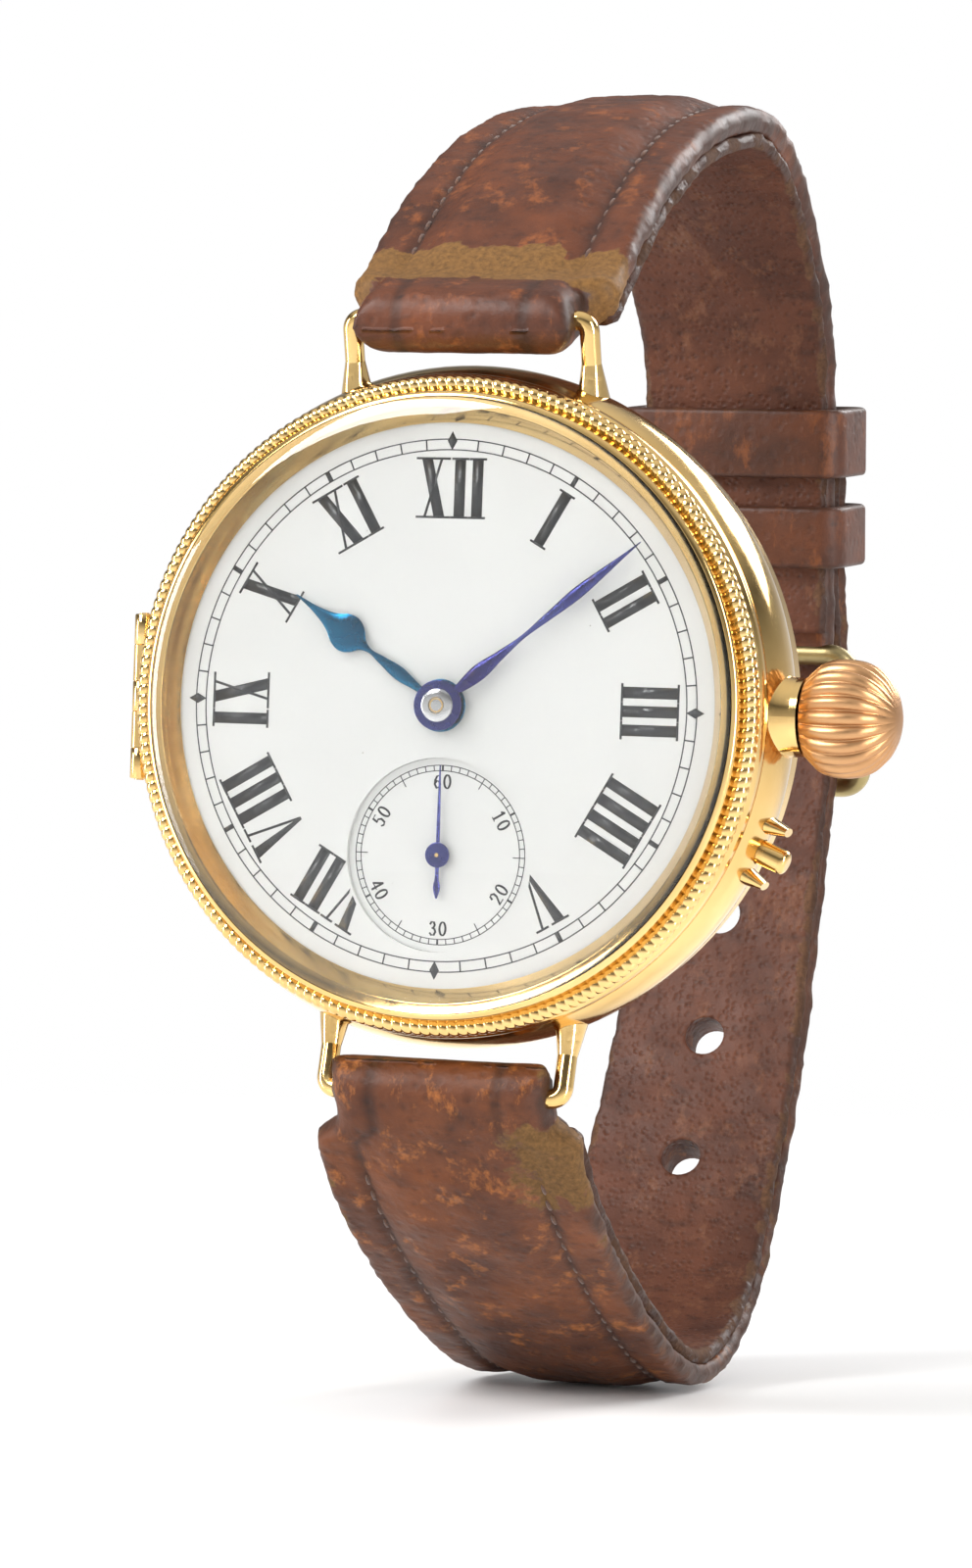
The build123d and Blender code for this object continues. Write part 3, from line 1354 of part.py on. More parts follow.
# Jewels: pressed into the plate and the bridges, one solid each.
with BuildPart() as jewels:
    for centre in PLATE_JEWELS:
        hole = STAFF_RADIUS + RUNNING_FIT if centre == BALANCE else JEWEL_HOLE
        add(disc(centre, JEWEL_RADIUS, PLATE_BACK, PLATE_BACK + 0.5, hole))
    for centre in (THIRD, FOURTH, ESCAPE, BALANCE):
        hole = STAFF_RADIUS + RUNNING_FIT if centre == BALANCE else JEWEL_HOLE
        add(disc(centre, JEWEL_RADIUS, BRIDGE_FRONT - 0.5, BRIDGE_FRONT, hole))
    add(disc(CENTRE, JEWEL_RADIUS, BRIDGE_FRONT - 0.5, BRIDGE_FRONT, PIVOT_RADIUS * 1.6 + 0.03))

# Bridge screws, one solid each, in counterbored holes.
SCREW_POINTS = [
    polar(BRIDGE_RADIUS - 0.55, 20),
    polar(BRIDGE_RADIUS - 0.55, 92),
    polar(BRIDGE_RADIUS - 0.55, -42),
    polar(BRIDGE_RADIUS - 0.55, -98),
    polar(BRIDGE_RADIUS - 0.42, BALANCE_ANGLE),
]
SCREW_HEAD_RADIUS, SCREW_SHANK_RADIUS = 0.4, 0.2


def screw_holes(points):
    """Cutter for the counterbores and shanks at these points."""
    with BuildPart() as holes:
        for point in points:
            add(disc(point, SCREW_HEAD_RADIUS, BRIDGE_BACK - 0.5, BRIDGE_BACK + 0.35))
            add(disc(point, SCREW_SHANK_RADIUS, BRIDGE_BACK, PLATE_BACK + 0.4))
    return holes.part


with BuildPart() as bridge_screws:
    for point in SCREW_POINTS:
        add(
            slotted_screw(
                point,
                SCREW_HEAD_RADIUS,
                BRIDGE_BACK,
                BRIDGE_BACK + 0.35,
                SCREW_SHANK_RADIUS,
                PLATE_BACK + 0.4,
            )
        )
cutter = screw_holes(SCREW_POINTS)
with BuildPart() as drilled_plate:
    add(main_plate.part)
    add(cutter, mode=Mode.SUBTRACT)
with BuildPart() as drilled_barrel_bridge:
    add(barrel_bridge.part)
    add(cutter, mode=Mode.SUBTRACT)
with BuildPart() as drilled_train_bridge:
    add(train_bridge.part)
    add(cutter, mode=Mode.SUBTRACT)
with BuildPart() as drilled_cock:
    add(balance_cock.part)
    add(cutter, mode=Mode.SUBTRACT)

# Case screws: their heads reach over the ledge and hold the movement against it.
CASE_SCREW_HEAD = 0.75
CASE_SCREW_CIRCLE = PLATE_RADIUS - 0.55
case_screw_points = [polar(CASE_SCREW_CIRCLE, angle) for angle in (150, -55)]
with BuildPart() as case_screws:
    for point in case_screw_points:
        add(slotted_screw(point, CASE_SCREW_HEAD, LEDGE_BACK - 0.35, LEDGE_BACK, 0.25, PLATE_BACK + 0.5))
with BuildPart() as finished_plate:
    add(drilled_plate.part)
    for point in case_screw_points:
        add(disc(point, 0.25, PLATE_BACK - 1, PLATE_BACK + 0.5), mode=Mode.SUBTRACT)

# ------------------------------------------------------------------------------ click and levers
CLICK_BACK, CLICK_FRONT = BRIDGE_BACK - 0.22, BRIDGE_BACK - 0.02
click_line = bearing(click_seat, beyond(BARREL, ratchet_tip + 0.18, 112))
with BuildPart() as click:
    with BuildSketch(at(CLICK_BACK)):
        with Locations(click_seat):
            Circle(0.5)
        with Locations(beyond(click_seat, 0.75, click_line)):
            Rectangle(1.3, 0.4, rotation=click_line)
    extrude(amount=CLICK_FRONT - CLICK_BACK)
    add(disc(click_seat, CLICK_STUD - RUNNING_FIT, BRIDGE_BACK - 0.02, BRIDGE_BACK + 0.28))

LEVER_HALF = 0.18
LEVER_LEVEL = STEM_FRONT - LEVER_HALF
SETTING_PIVOT = (9.2, -7.6)
LEVER_ARM_WIDTH = 0.5
with BuildPart() as setting_lever:
    tip = beyond(CENTRE, pin_start - LEVER_ARM_WIDTH / 2, SET_PIN_ANGLE)
    clutch_point = (CLUTCH_FRONT - CLUTCH_LENGTH / 2, -1.9)
    with BuildSketch(at(LEVER_LEVEL)):
        with Locations(SETTING_PIVOT):
            Circle(0.7)
            Circle(0.3 + RUNNING_FIT, mode=Mode.SUBTRACT)
        for end in (tip, clutch_point):
            line = bearing(SETTING_PIVOT, end)
            length = hypot(end[0] - SETTING_PIVOT[0], end[1] - SETTING_PIVOT[1])
            with Locations(beyond(SETTING_PIVOT, (length + 0.5) / 2, line)):
                Rectangle(length - 0.5, LEVER_ARM_WIDTH, rotation=line)
        with Locations(tip):
            Circle(LEVER_ARM_WIDTH / 2 - HOLE_FIT)
    extrude(amount=2 * LEVER_HALF)

with BuildPart() as setting_pivot:
    add(disc(SETTING_PIVOT, 0.3, LEVER_LEVEL - 0.1, PLATE_BACK))

# -------------------------------------------------------------------------------------- strap
LEAN_UP = (-sin(radians(BACK_LEAN)), cos(radians(BACK_LEAN)))  # up the straight run, as (y, z)
LEAN_OUT = (cos(radians(BACK_LEAN)), sin(radians(BACK_LEAN)))  # out of its surface
RUN_START_Y = DIAL_Y + STRAP_DEPTH
LUG_BAR_Y = DIAL_Y + LUG_BAR_DEPTH


def on_run(run, out):
    """A (y, z) point so far up the straight run behind the wrist, and so far out from its middle."""
    return (
        RUN_START_Y + LEAN_UP[0] * run + LEAN_OUT[0] * out,
        LEAN_UP[1] * run + LEAN_OUT[1] * out,
    )


ROUTE_DEPTH = 47.7  # the strap depth for which the bends' points below are given


def behind(depth, height):
    """A (y, z) point of a bend, which moves in step with the depth of the loop."""
    return (DIAL_Y + depth * STRAP_DEPTH / ROUTE_DEPTH, height)


def run_plane(run, out=0.0):
    """The plane across the straight run: local X along the strap's width, local Y out of its surface."""
    y, z = on_run(run, out)
    return Plane(origin=(0, y, z), x_dir=(1, 0, 0), z_dir=(0, LEAN_UP[0], LEAN_UP[1]))


TAIL_GAP = 0.1
TAIL_OUT = STRAP_THICKNESS / 2 + TAIL_GAP + TAIL_THICKNESS / 2
FOLD_OUT = BUCKLE_FOLD_RADIUS + TAIL_GAP + TAIL_THICKNESS / 2
TAIL_TIP_RUN = 19.4
UPPER_ROUTE = [
    (LUG_BAR_Y, LUG_BAR_Z),
    (LUG_BAR_Y + 2.0, LUG_BAR_Z + 0.95),
    behind(7.0, 22.7),
    behind(10.9, 25.6),
    behind(18.5, 29.4),
    behind(24.7, 31.0),
    behind(30.2, 31.5),
    behind(35.6, 30.2),
    behind(41.2, 26.2),
    on_run(20.4, -0.2),
    on_run(15.0, 0),
    on_run(9.5, 0),
    on_run(BUCKLE_RUN, 0),
]
LOWER_ROUTE = [
    (LUG_BAR_Y, -LUG_BAR_Z),
    (LUG_BAR_Y + 1.5, -LUG_BAR_Z - 2.6),
    behind(9.4, -27.2),
    behind(18.0, -31.9),
    behind(25.2, -34.1),
    behind(30.7, -33.5),
    behind(35.5, -30.9),
    behind(40.9, -24.3),
    behind(44.2, -18.0),
    behind(46.5, -11.3),
    on_run(-3.4, FOLD_OUT - 1.9),
    on_run(0.6, FOLD_OUT - 0.35),
    on_run(BUCKLE_RUN, FOLD_OUT),
    on_run(8.6, TAIL_OUT),
    on_run(13.5, TAIL_OUT),
    on_run(TAIL_TIP_RUN, TAIL_OUT),
]


def middle_line(route):
    """The strap's middle surface, as a curve in the YZ plane."""
    with BuildLine(Plane.YZ) as curve:
        Spline(*route)
    return curve.edge()


def strap_layer(route, inward, outward):
    """The face between two offsets from the middle line, positive towards the outside of the loop."""
    curve = middle_line(route)
    centre_y = DIAL_Y + STRAP_DEPTH / 2
    steps = 4 * len(route)
    sides = []
    for offset_distance in (outward, inward):
        points = []
        for step in range(steps + 1):
            place = curve.position_at(step / steps)
            along = curve.tangent_at(step / steps)
            normal = Vector(0, -along.Z, along.Y)
            if normal.dot(Vector(0, place.Y - centre_y, place.Z)) < 0:
                normal = -normal
            points.append((place.Y + normal.Y * offset_distance, place.Z + normal.Z * offset_distance))
        sides.append(points)
    with BuildSketch(Plane.YZ) as face:
        with BuildLine():
            outer_side = Spline(*sides[0])
            inner_side = Spline(*sides[1])
            Line(outer_side @ 0, inner_side @ 0)
            Line(outer_side @ 1, inner_side @ 1)
        make_face()
    return face.sketch


# seen from above, the strap is widest at the lugs and tapers towards the buckle
with BuildPart() as strap_plan:
    with BuildSketch(Plane.XY.offset(-60)):
        with BuildLine():
            Polyline(
                (STRAP_WIDTH / 2, DIAL_Y - 5),
                (STRAP_WIDTH / 2, DIAL_Y + 4),
                (STRAP_MIDDLE_WIDTH / 2, DIAL_Y + STRAP_WIDE_DEPTH),
                (STRAP_BACK_WIDTH / 2, DIAL_Y + STRAP_NARROW_DEPTH),
                (STRAP_BACK_WIDTH / 2, DIAL_Y + STRAP_DEPTH + 10),
                (-STRAP_BACK_WIDTH / 2, DIAL_Y + STRAP_DEPTH + 10),
                (-STRAP_BACK_WIDTH / 2, DIAL_Y + STRAP_NARROW_DEPTH),
                (-STRAP_MIDDLE_WIDTH / 2, DIAL_Y + STRAP_WIDE_DEPTH),
                (-STRAP_WIDTH / 2, DIAL_Y + 4),
                (-STRAP_WIDTH / 2, DIAL_Y - 5),
                close=True,
            )
        make_face()
    extrude(amount=120)

WRAP_RADIUS = LUG_WIRE_RADIUS + RUNNING_FIT + WRAP_THICKNESS
BUCKLE_BAR = on_run(BUCKLE_RUN, 0)
TANG_SLOT = TANG_WIDTH + 0.3
HALF = STRAP_THICKNESS / 2
TAIL_HALF = TAIL_THICKNESS / 2


def strap_half(route, inward, outward, side, wrap):
    """One layer of a strap piece, cut to the strap's taper and notched beside the lug."""
    with BuildPart() as strap:
        add(extrude(strap_layer(route, inward, outward), amount=STRAP_WIDTH / 2, both=True))
        add(strap_plan.part, mode=Mode.INTERSECT)
        if wrap:
            with BuildSketch(Plane.YZ):
                with Locations((LUG_BAR_Y, side * LUG_BAR_Z)):
                    Circle(WRAP_RADIUS)
            extrude(amount=WRAP_WIDTH / 2, both=True)
        with BuildSketch(Plane.YZ):
            with Locations((LUG_BAR_Y, side * LUG_BAR_Z)):
                Circle(LUG_WIRE_RADIUS + RUNNING_FIT)
        extrude(amount=STRAP_WIDTH, both=True, mode=Mode.SUBTRACT)
        # the wide part starts only behind and beyond the lug
        for edge_sign in (1, -1):
            with BuildSketch(Plane.YZ.offset(edge_sign * WRAP_WIDTH / 2)):
                with Locations((LUG_BAR_Y - 3, side * (LUG_BAR_Z + WRAP_SHOULDER))):
                    Rectangle(
                        6,
                        12,
                        align=(Align.MIN, Align.MAX if side > 0 else Align.MIN),
                    )
            extrude(amount=edge_sign * STRAP_WIDTH, mode=Mode.SUBTRACT)
    return strap.part




def buckle_cylinder(radius, half_length, centre=BUCKLE_BAR):
    """A cylinder along X about the buckle bar's axis, or about another (y, z) point."""
    with BuildPart() as piece:
        with BuildSketch(Plane.YZ):
            with Locations(centre):
                Circle(radius)
        extrude(amount=half_length, both=True)
    return piece.part


def tang_window(low, high):
    """A slot through the strap's thickness for the tang, over a stretch of the straight run."""
    with BuildPart() as window:
        with BuildSketch(run_plane(low)):
            Rectangle(TANG_SLOT, 12)
        extrude(amount=high - low)
    return window.part


with BuildPart() as upper_strap:
    add(strap_half(UPPER_ROUTE, LINING_THICKNESS - HALF, HALF, 1, True))
    add(buckle_cylinder(BUCKLE_FOLD_RADIUS, STRAP_BACK_WIDTH / 2))
    add(buckle_cylinder(BUCKLE_WIRE + RUNNING_FIT, STRAP_WIDTH), mode=Mode.SUBTRACT)
    add(tang_window(BUCKLE_RUN - 3, BUCKLE_RUN + 1.6), mode=Mode.SUBTRACT)

with BuildPart() as upper_lining:
    add(strap_half(UPPER_ROUTE, -HALF, LINING_THICKNESS - HALF, 1, False))
    add(buckle_cylinder(WRAP_RADIUS, STRAP_WIDTH, (LUG_BAR_Y, LUG_BAR_Z)), mode=Mode.SUBTRACT)
    add(buckle_cylinder(BUCKLE_FOLD_RADIUS, STRAP_WIDTH), mode=Mode.SUBTRACT)

lower_curve = middle_line(LOWER_ROUTE)


def strap_holes():
    """Cutters for the buckle holes: a stretched one that the tang fills, and round ones below it."""
    tang_hole_run = BUCKLE_RUN - 1.3
    with BuildPart() as holes:
        for number in range(1, LOWER_HOLES + 1):
            target = tang_hole_run - number * HOLE_SPACING
            place = min(
                (lower_curve.position_at(step / 400) for step in range(200, 401)),
                key=lambda point: abs(point.Z - target),
            )
            with BuildSketch(Plane(origin=(0, place.Y, place.Z), x_dir=(1, 0, 0), z_dir=(0, 1, 0.1))):
                Circle(HOLE_RADIUS)
            extrude(amount=4, both=True)
        with BuildSketch(run_plane(tang_hole_run - 1.5)):
            with Locations((0, FOLD_OUT)):
                Rectangle(TANG_SLOT, 4)
        extrude(amount=3.0)
    return holes.part


buckle_holes = strap_holes()
with BuildPart() as lower_strap:
    add(strap_half(LOWER_ROUTE, LINING_THICKNESS - TAIL_HALF, TAIL_HALF, -1, True))
    add(buckle_holes, mode=Mode.SUBTRACT)

with BuildPart() as lower_lining:
    add(strap_half(LOWER_ROUTE, -TAIL_HALF, LINING_THICKNESS - TAIL_HALF, -1, False))
    add(buckle_cylinder(WRAP_RADIUS, STRAP_WIDTH, (LUG_BAR_Y, -LUG_BAR_Z)), mode=Mode.SUBTRACT)
    add(buckle_holes, mode=Mode.SUBTRACT)

# ------------------------------------------------------------------------- buckle and keepers
FRAME_X = BUCKLE_INSIDE_WIDTH / 2 + BUCKLE_WIRE
FRAME_BAR = on_run(BUCKLE_RUN - BUCKLE_HEIGHT, BUCKLE_RISE)
with BuildPart() as buckle_frame:
    with BuildLine() as frame_wire:
        FilletPolyline(
            (0, FRAME_BAR[0], FRAME_BAR[1]),
            (FRAME_X, FRAME_BAR[0], FRAME_BAR[1]),
            (FRAME_X, BUCKLE_BAR[0], BUCKLE_BAR[1]),
            (0, BUCKLE_BAR[0], BUCKLE_BAR[1]),
            radius=1.2,
        )
    with BuildSketch(frame_wire.line ^ 0):
        Circle(BUCKLE_WIRE)
    sweep()
    mirror(about=Plane.YZ)

# The tang: a loop round the bar and a bent prong that passes through the tail and rests on the frame.
TANG_LOOP = BUCKLE_WIRE + RUNNING_FIT
with BuildPart() as buckle_tang:
    with BuildSketch(Plane.YZ):
        with Locations(BUCKLE_BAR):
            Circle(TANG_LOOP + 0.4)
            Circle(TANG_LOOP, mode=Mode.SUBTRACT)
        with BuildLine():
            prong = Spline(
                on_run(BUCKLE_RUN - 0.1, TANG_LOOP + 0.2),
                on_run(BUCKLE_RUN - 0.7, 2.2),
                on_run(BUCKLE_RUN - 1.6, 3.7),
                on_run(BUCKLE_RUN - 3.6, 4.5),
                on_run(BUCKLE_RUN - BUCKLE_HEIGHT, BUCKLE_RISE + BUCKLE_WIRE + 0.06 + TANG_THICKNESS / 2),
                on_run(BUCKLE_RUN - BUCKLE_HEIGHT - 0.9, BUCKLE_RISE + BUCKLE_WIRE + 0.1),
            )
        trace(prong, line_width=TANG_THICKNESS)
    extrude(amount=TANG_WIDTH / 2, both=True)


def keeper(run, width, inner_side, outer_side):
    """A leather band round the strap, between two offsets from the middle of the straight run."""
    inside_width = STRAP_BACK_WIDTH + 2 * KEEPER_GAP
    inside_height = outer_side - inner_side
    with BuildPart() as band:
        with BuildSketch(run_plane(run - width / 2, (outer_side + inner_side) / 2)):
            RectangleRounded(inside_width + 2 * KEEPER_WALL, inside_height + 2 * KEEPER_WALL, 1.0)
            RectangleRounded(inside_width, inside_height, 0.3, mode=Mode.SUBTRACT)
        extrude(amount=width)
    return band.part


KEEPER_INNER = -HALF - KEEPER_GAP
KEEPER_OUTER = TAIL_OUT + TAIL_HALF + KEEPER_GAP
fixed_keeper = keeper(FIXED_KEEPER_RUN, FIXED_KEEPER_WIDTH, KEEPER_INNER, KEEPER_OUTER)
free_keeper = keeper(FREE_KEEPER_RUN, FREE_KEEPER_WIDTH, KEEPER_INNER, KEEPER_OUTER)

# ------------------------------------------------------------------------------------ the files
save(case_middle.part, "case_middle")
save(pin_guards.part, "pin_guards")
save(bezel.part, "bezel")
save(crystal.part, "crystal")
save(case_back.part, "case_back")
save(cuvette.part, "cuvette")
save(hinge_pin(BEZEL_HINGE_FRONT), "bezel_hinge_pin")
save(hinge_pin(BACK_HINGE_FRONT), "back_hinge_pin")
save(wire_lug(1), "upper_lug")
save(wire_lug(-1), "lower_lug")
save(pendant_tube.part, "pendant_tube")
save(crown.part, "crown")
save(winding_stem, "winding_stem")
save(winding_pinion, "winding_pinion")
save(sliding_clutch, "sliding_clutch")
save(set_pin.part, "set_pin")
save(setting_lever.part, "setting_lever")
save(setting_pivot.part, "setting_pivot")
save(dial.part, "dial")
save(seconds_dial, "seconds_dial")
save(dial_feet.part, "dial_feet")
save(hour_hand, "hour_hand")
save(minute_hand, "minute_hand")
save(seconds_hand, "seconds_hand")
save(cannon_pinion.part, "cannon_pinion")
save(hour_wheel.part, "hour_wheel")
save(minute_wheel.part, "minute_wheel")
save(finished_plate.part, "main_plate")
save(barrel.part, "barrel")
save(mainspring, "mainspring")
save(barrel_arbor.part, "barrel_arbor")
save(ratchet_wheel.part, "ratchet_wheel")
save(ratchet_screw, "ratchet_screw")
save(crown_wheel.part, "crown_wheel")
save(crown_wheel_screw, "crown_wheel_screw")
save(click.part, "click")
save(centre_wheel.part, "centre_wheel")
save(third_wheel, "third_wheel")
save(fourth_wheel, "fourth_wheel")
save(escape_wheel.part, "escape_wheel")
save(pallet_fork.part, "pallet_fork")
save(pallet_cock.part, "pallet_cock")
save(balance_wheel.part, "balance_wheel")
save(hairspring, "hairspring")
save(drilled_cock.part, "balance_cock")
save(regulator.part, "regulator")
save(drilled_barrel_bridge.part, "barrel_bridge")
save(drilled_train_bridge.part, "train_bridge")
save(jewels.part, "jewels")
save(bridge_screws.part, "bridge_screws")
save(case_screws.part, "case_screws")
save(upper_strap.part, "upper_strap")
save(upper_lining.part, "upper_lining")
save(lower_strap.part, "lower_strap")
save(lower_lining.part, "lower_lining")
save(fixed_keeper, "fixed_keeper")
save(free_keeper, "free_keeper")
save(buckle_frame.part, "buckle_frame")
save(buckle_tang.part, "buckle_tang")
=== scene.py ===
"""Looks of the hinged gold watch on its buckled leather strap.

Lengths are millimetres until build() makes a mesh of them. A "front" distance is measured from the dial's
surface towards the eye, and a "depth" the other way. Angles are anticlockwise from 3 o'clock.
"""

import json
from math import cos, hypot, pi, radians, sin, sqrt

import bmesh
import bpy
import numpy as np
from mathutils import Matrix, Vector, noise


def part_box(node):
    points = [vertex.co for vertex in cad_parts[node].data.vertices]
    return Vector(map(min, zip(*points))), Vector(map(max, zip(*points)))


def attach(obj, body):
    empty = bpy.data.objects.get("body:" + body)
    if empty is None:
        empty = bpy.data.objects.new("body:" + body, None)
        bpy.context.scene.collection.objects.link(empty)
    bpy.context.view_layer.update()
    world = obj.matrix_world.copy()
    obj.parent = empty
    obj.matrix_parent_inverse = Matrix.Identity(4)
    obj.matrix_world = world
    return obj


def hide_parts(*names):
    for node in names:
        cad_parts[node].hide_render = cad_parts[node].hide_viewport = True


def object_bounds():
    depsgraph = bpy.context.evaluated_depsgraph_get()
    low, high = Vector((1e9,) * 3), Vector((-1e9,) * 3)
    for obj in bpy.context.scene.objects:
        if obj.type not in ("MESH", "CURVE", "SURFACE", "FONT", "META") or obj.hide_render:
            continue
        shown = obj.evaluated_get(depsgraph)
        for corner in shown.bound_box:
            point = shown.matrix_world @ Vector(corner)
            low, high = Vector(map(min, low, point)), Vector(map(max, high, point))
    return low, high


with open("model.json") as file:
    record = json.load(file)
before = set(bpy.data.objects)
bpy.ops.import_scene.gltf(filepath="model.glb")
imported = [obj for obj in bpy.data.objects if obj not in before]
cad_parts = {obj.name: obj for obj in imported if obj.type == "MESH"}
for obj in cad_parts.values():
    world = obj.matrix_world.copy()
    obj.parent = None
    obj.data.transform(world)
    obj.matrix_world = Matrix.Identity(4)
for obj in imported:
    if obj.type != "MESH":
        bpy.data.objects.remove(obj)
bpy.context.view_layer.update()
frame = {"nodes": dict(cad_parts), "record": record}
MM = 0.001
DIAL_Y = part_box("dial")[0].y / MM


# ------------------------------------------------------------------------------------ camera
CAMERA_PLACE = (114.2, -336.7, -3.1)
CAMERA_AZIMUTH, CAMERA_ELEVATION, CAMERA_ROLL = 19.87, 0.12, 2.0
CAMERA_LENS = 153.5
SENSOR = 36.0


def make_camera():
    azimuth, elevation = radians(CAMERA_AZIMUTH), radians(CAMERA_ELEVATION)
    back = Vector((sin(azimuth) * cos(elevation), -cos(azimuth) * cos(elevation), sin(elevation)))
    level = Vector((cos(azimuth), sin(azimuth), 0))
    upright = back.cross(level)
    roll = radians(CAMERA_ROLL)
    right = level * cos(roll) + upright * sin(roll)
    up = upright * cos(roll) - level * sin(roll)
    data = bpy.data.cameras.new("camera")
    data.lens, data.sensor_width = CAMERA_LENS, SENSOR
    data.clip_start, data.clip_end = 0.01, 20
    camera = bpy.data.objects.new("camera", data)
    bpy.context.scene.collection.objects.link(camera)
    matrix = Matrix((right, up, back)).transposed().to_4x4()
    matrix.translation = Vector(CAMERA_PLACE) * MM
    camera.matrix_world = matrix
    bpy.context.scene.camera = camera


make_camera()


# --------------------------------------------------------------------------------- materials
class Shader:
    """A Principled material and short calls for the nodes that drive it."""

    def __init__(self, name, **sockets):
        self.material = bpy.data.materials.new(name)
        self.material.use_nodes = True
        self.tree = self.material.node_tree
        self.surface = self.tree.nodes["Principled BSDF"]
        for socket, value in sockets.items():
            self.surface.inputs[socket.replace("_", " ")].default_value = value
        self.place = self.tree.nodes.new("ShaderNodeTexCoord").outputs["Object"]

    def node(self, kind, inputs=(), **settings):
        made = self.tree.nodes.new(kind)
        for key, value in settings.items():
            setattr(made, key, value)
        for key, value in dict(inputs).items():
            if isinstance(value, bpy.types.NodeSocket):
                self.tree.links.new(value, made.inputs[key])
            else:
                made.inputs[key].default_value = value
        return made

    def noise(self, scale, detail=4.0, rough=0.55, stretch=None):
        """Noise with features of about 1/scale metres, stretched by an (x, y, z) factor."""
        place = self.place
        if stretch:
            place = self.node("ShaderNodeMapping", {"Vector": place, "Scale": stretch}).outputs[0]
        inputs = {"Vector": place, "Scale": scale, "Detail": detail, "Roughness": rough}
        return self.node("ShaderNodeTexNoise", inputs).outputs["Fac"]

    def cells(self, scale, feature="F1"):
        inputs = {"Vector": self.place, "Scale": scale}
        return self.node("ShaderNodeTexVoronoi", inputs, feature=feature).outputs["Distance"]

    def attribute(self, name):
        return self.node("ShaderNodeAttribute", attribute_name=name).outputs["Fac"]

    def spread(self, value, low, high, out_low=0.0, out_high=1.0):
        """Maps low..high of a value to out_low..out_high, clamped."""
        inputs = {0: value, 1: low, 2: high, 3: out_low, 4: out_high}
        return self.node("ShaderNodeMapRange", inputs).outputs[0]

    def mix(self, amount, first, second, blend="MIX"):
        made = self.tree.nodes.new("ShaderNodeMix")
        made.data_type, made.blend_type = "RGBA", blend
        for slot, value in ((0, amount), (6, first), (7, second)):
            if isinstance(value, bpy.types.NodeSocket):
                self.tree.links.new(value, made.inputs[slot])
            else:
                made.inputs[slot].default_value = value if slot == 0 else (*value, 1)
        return made.outputs[2]

    def calc(self, operation, first, second):
        return self.node("ShaderNodeMath", {0: first, 1: second}, operation=operation).outputs[0]

    def drive(self, socket, value):
        self.tree.links.new(value, self.surface.inputs[socket])

    def bump(self, *layers):
        """Layers are (height value, depth in mm), stacked."""
        normal = None
        for height, depth in layers:
            inputs = {"Height": height, "Strength": 1.0, "Distance": depth * MM}
            if normal:
                inputs["Normal"] = normal
            normal = self.node("ShaderNodeBump", inputs).outputs[0]
        self.drive("Normal", normal)


def polished_metal(name, light, dark, smooth, rough, depth=0.0012):
    """Metal with faint handling marks: drifting colour and polish, and hair scratches."""
    made = Shader(name, Metallic=1.0)
    drift = made.noise(160)
    made.drive("Base Color", made.mix(made.spread(drift, 0.3, 0.7), light, dark))
    rubbed = made.noise(900, 6, 0.65)
    made.drive("Roughness", made.spread(rubbed, 0.3, 0.75, smooth, rough))
    scratches = made.noise(2600, 2, 0.5, (1, 1, 0.08))
    made.bump((made.noise(420, 2), depth * 2), (scratches, depth))
    return made.material


def enamel():
    made = Shader("enamel", Roughness=0.16, Coat_Weight=0.5, Coat_Roughness=0.05)
    cloud = made.spread(made.noise(90, 3), 0.3, 0.7)
    white = made.mix(cloud, (0.87, 0.87, 0.85), (0.91, 0.91, 0.89))
    speck = made.spread(made.noise(3800, 1), 0.8, 0.84)
    made.drive("Base Color", made.mix(speck, white, (0.42, 0.38, 0.32)))
    made.bump((made.noise(240, 2), 0.004))
    return made.material


def ink():
    made = Shader("dial_ink", Roughness=0.38)
    fade = made.spread(made.noise(2200, 4), 0.35, 0.75)
    made.drive("Base Color", made.mix(fade, (0.012, 0.013, 0.016), (0.03, 0.032, 0.036)))
    return made.material


def blued(name, deep, light, tarnish):
    """Heat-blued steel: the tint drifts along the hand, as uneven heat leaves it."""
    made = Shader(name, Metallic=1.0)
    tint = made.mix(made.spread(made.noise(190, 3), 0.35, 0.65), deep, light)
    spots = made.spread(made.noise(1500, 5), 0.62, 0.7, 0, 0.6)
    made.drive("Base Color", made.mix(spots, tint, tarnish))
    made.drive("Roughness", made.spread(made.noise(1200), 0.3, 0.7, 0.2, 0.36))
    made.bump((made.noise(1800, 3), 0.0015))
    return made.material


def crystal_glass():
    made = Shader("crystal_glass", Transmission_Weight=1.0, IOR=1.5)
    made.surface.inputs["Base Color"].default_value = (0.99, 0.995, 0.99, 1)
    smear = made.noise(130, 4)
    made.drive("Roughness", made.spread(smear, 0.45, 0.8, 0.0, 0.03))
    return made.material


def ruby():
    made = Shader("ruby", Roughness=0.06, IOR=1.76, Transmission_Weight=0.5)
    depth = made.spread(made.noise(1300, 2), 0.3, 0.7)
    made.drive("Base Color", made.mix(depth, (0.5, 0.015, 0.06), (0.7, 0.05, 0.14)))
    return made.material


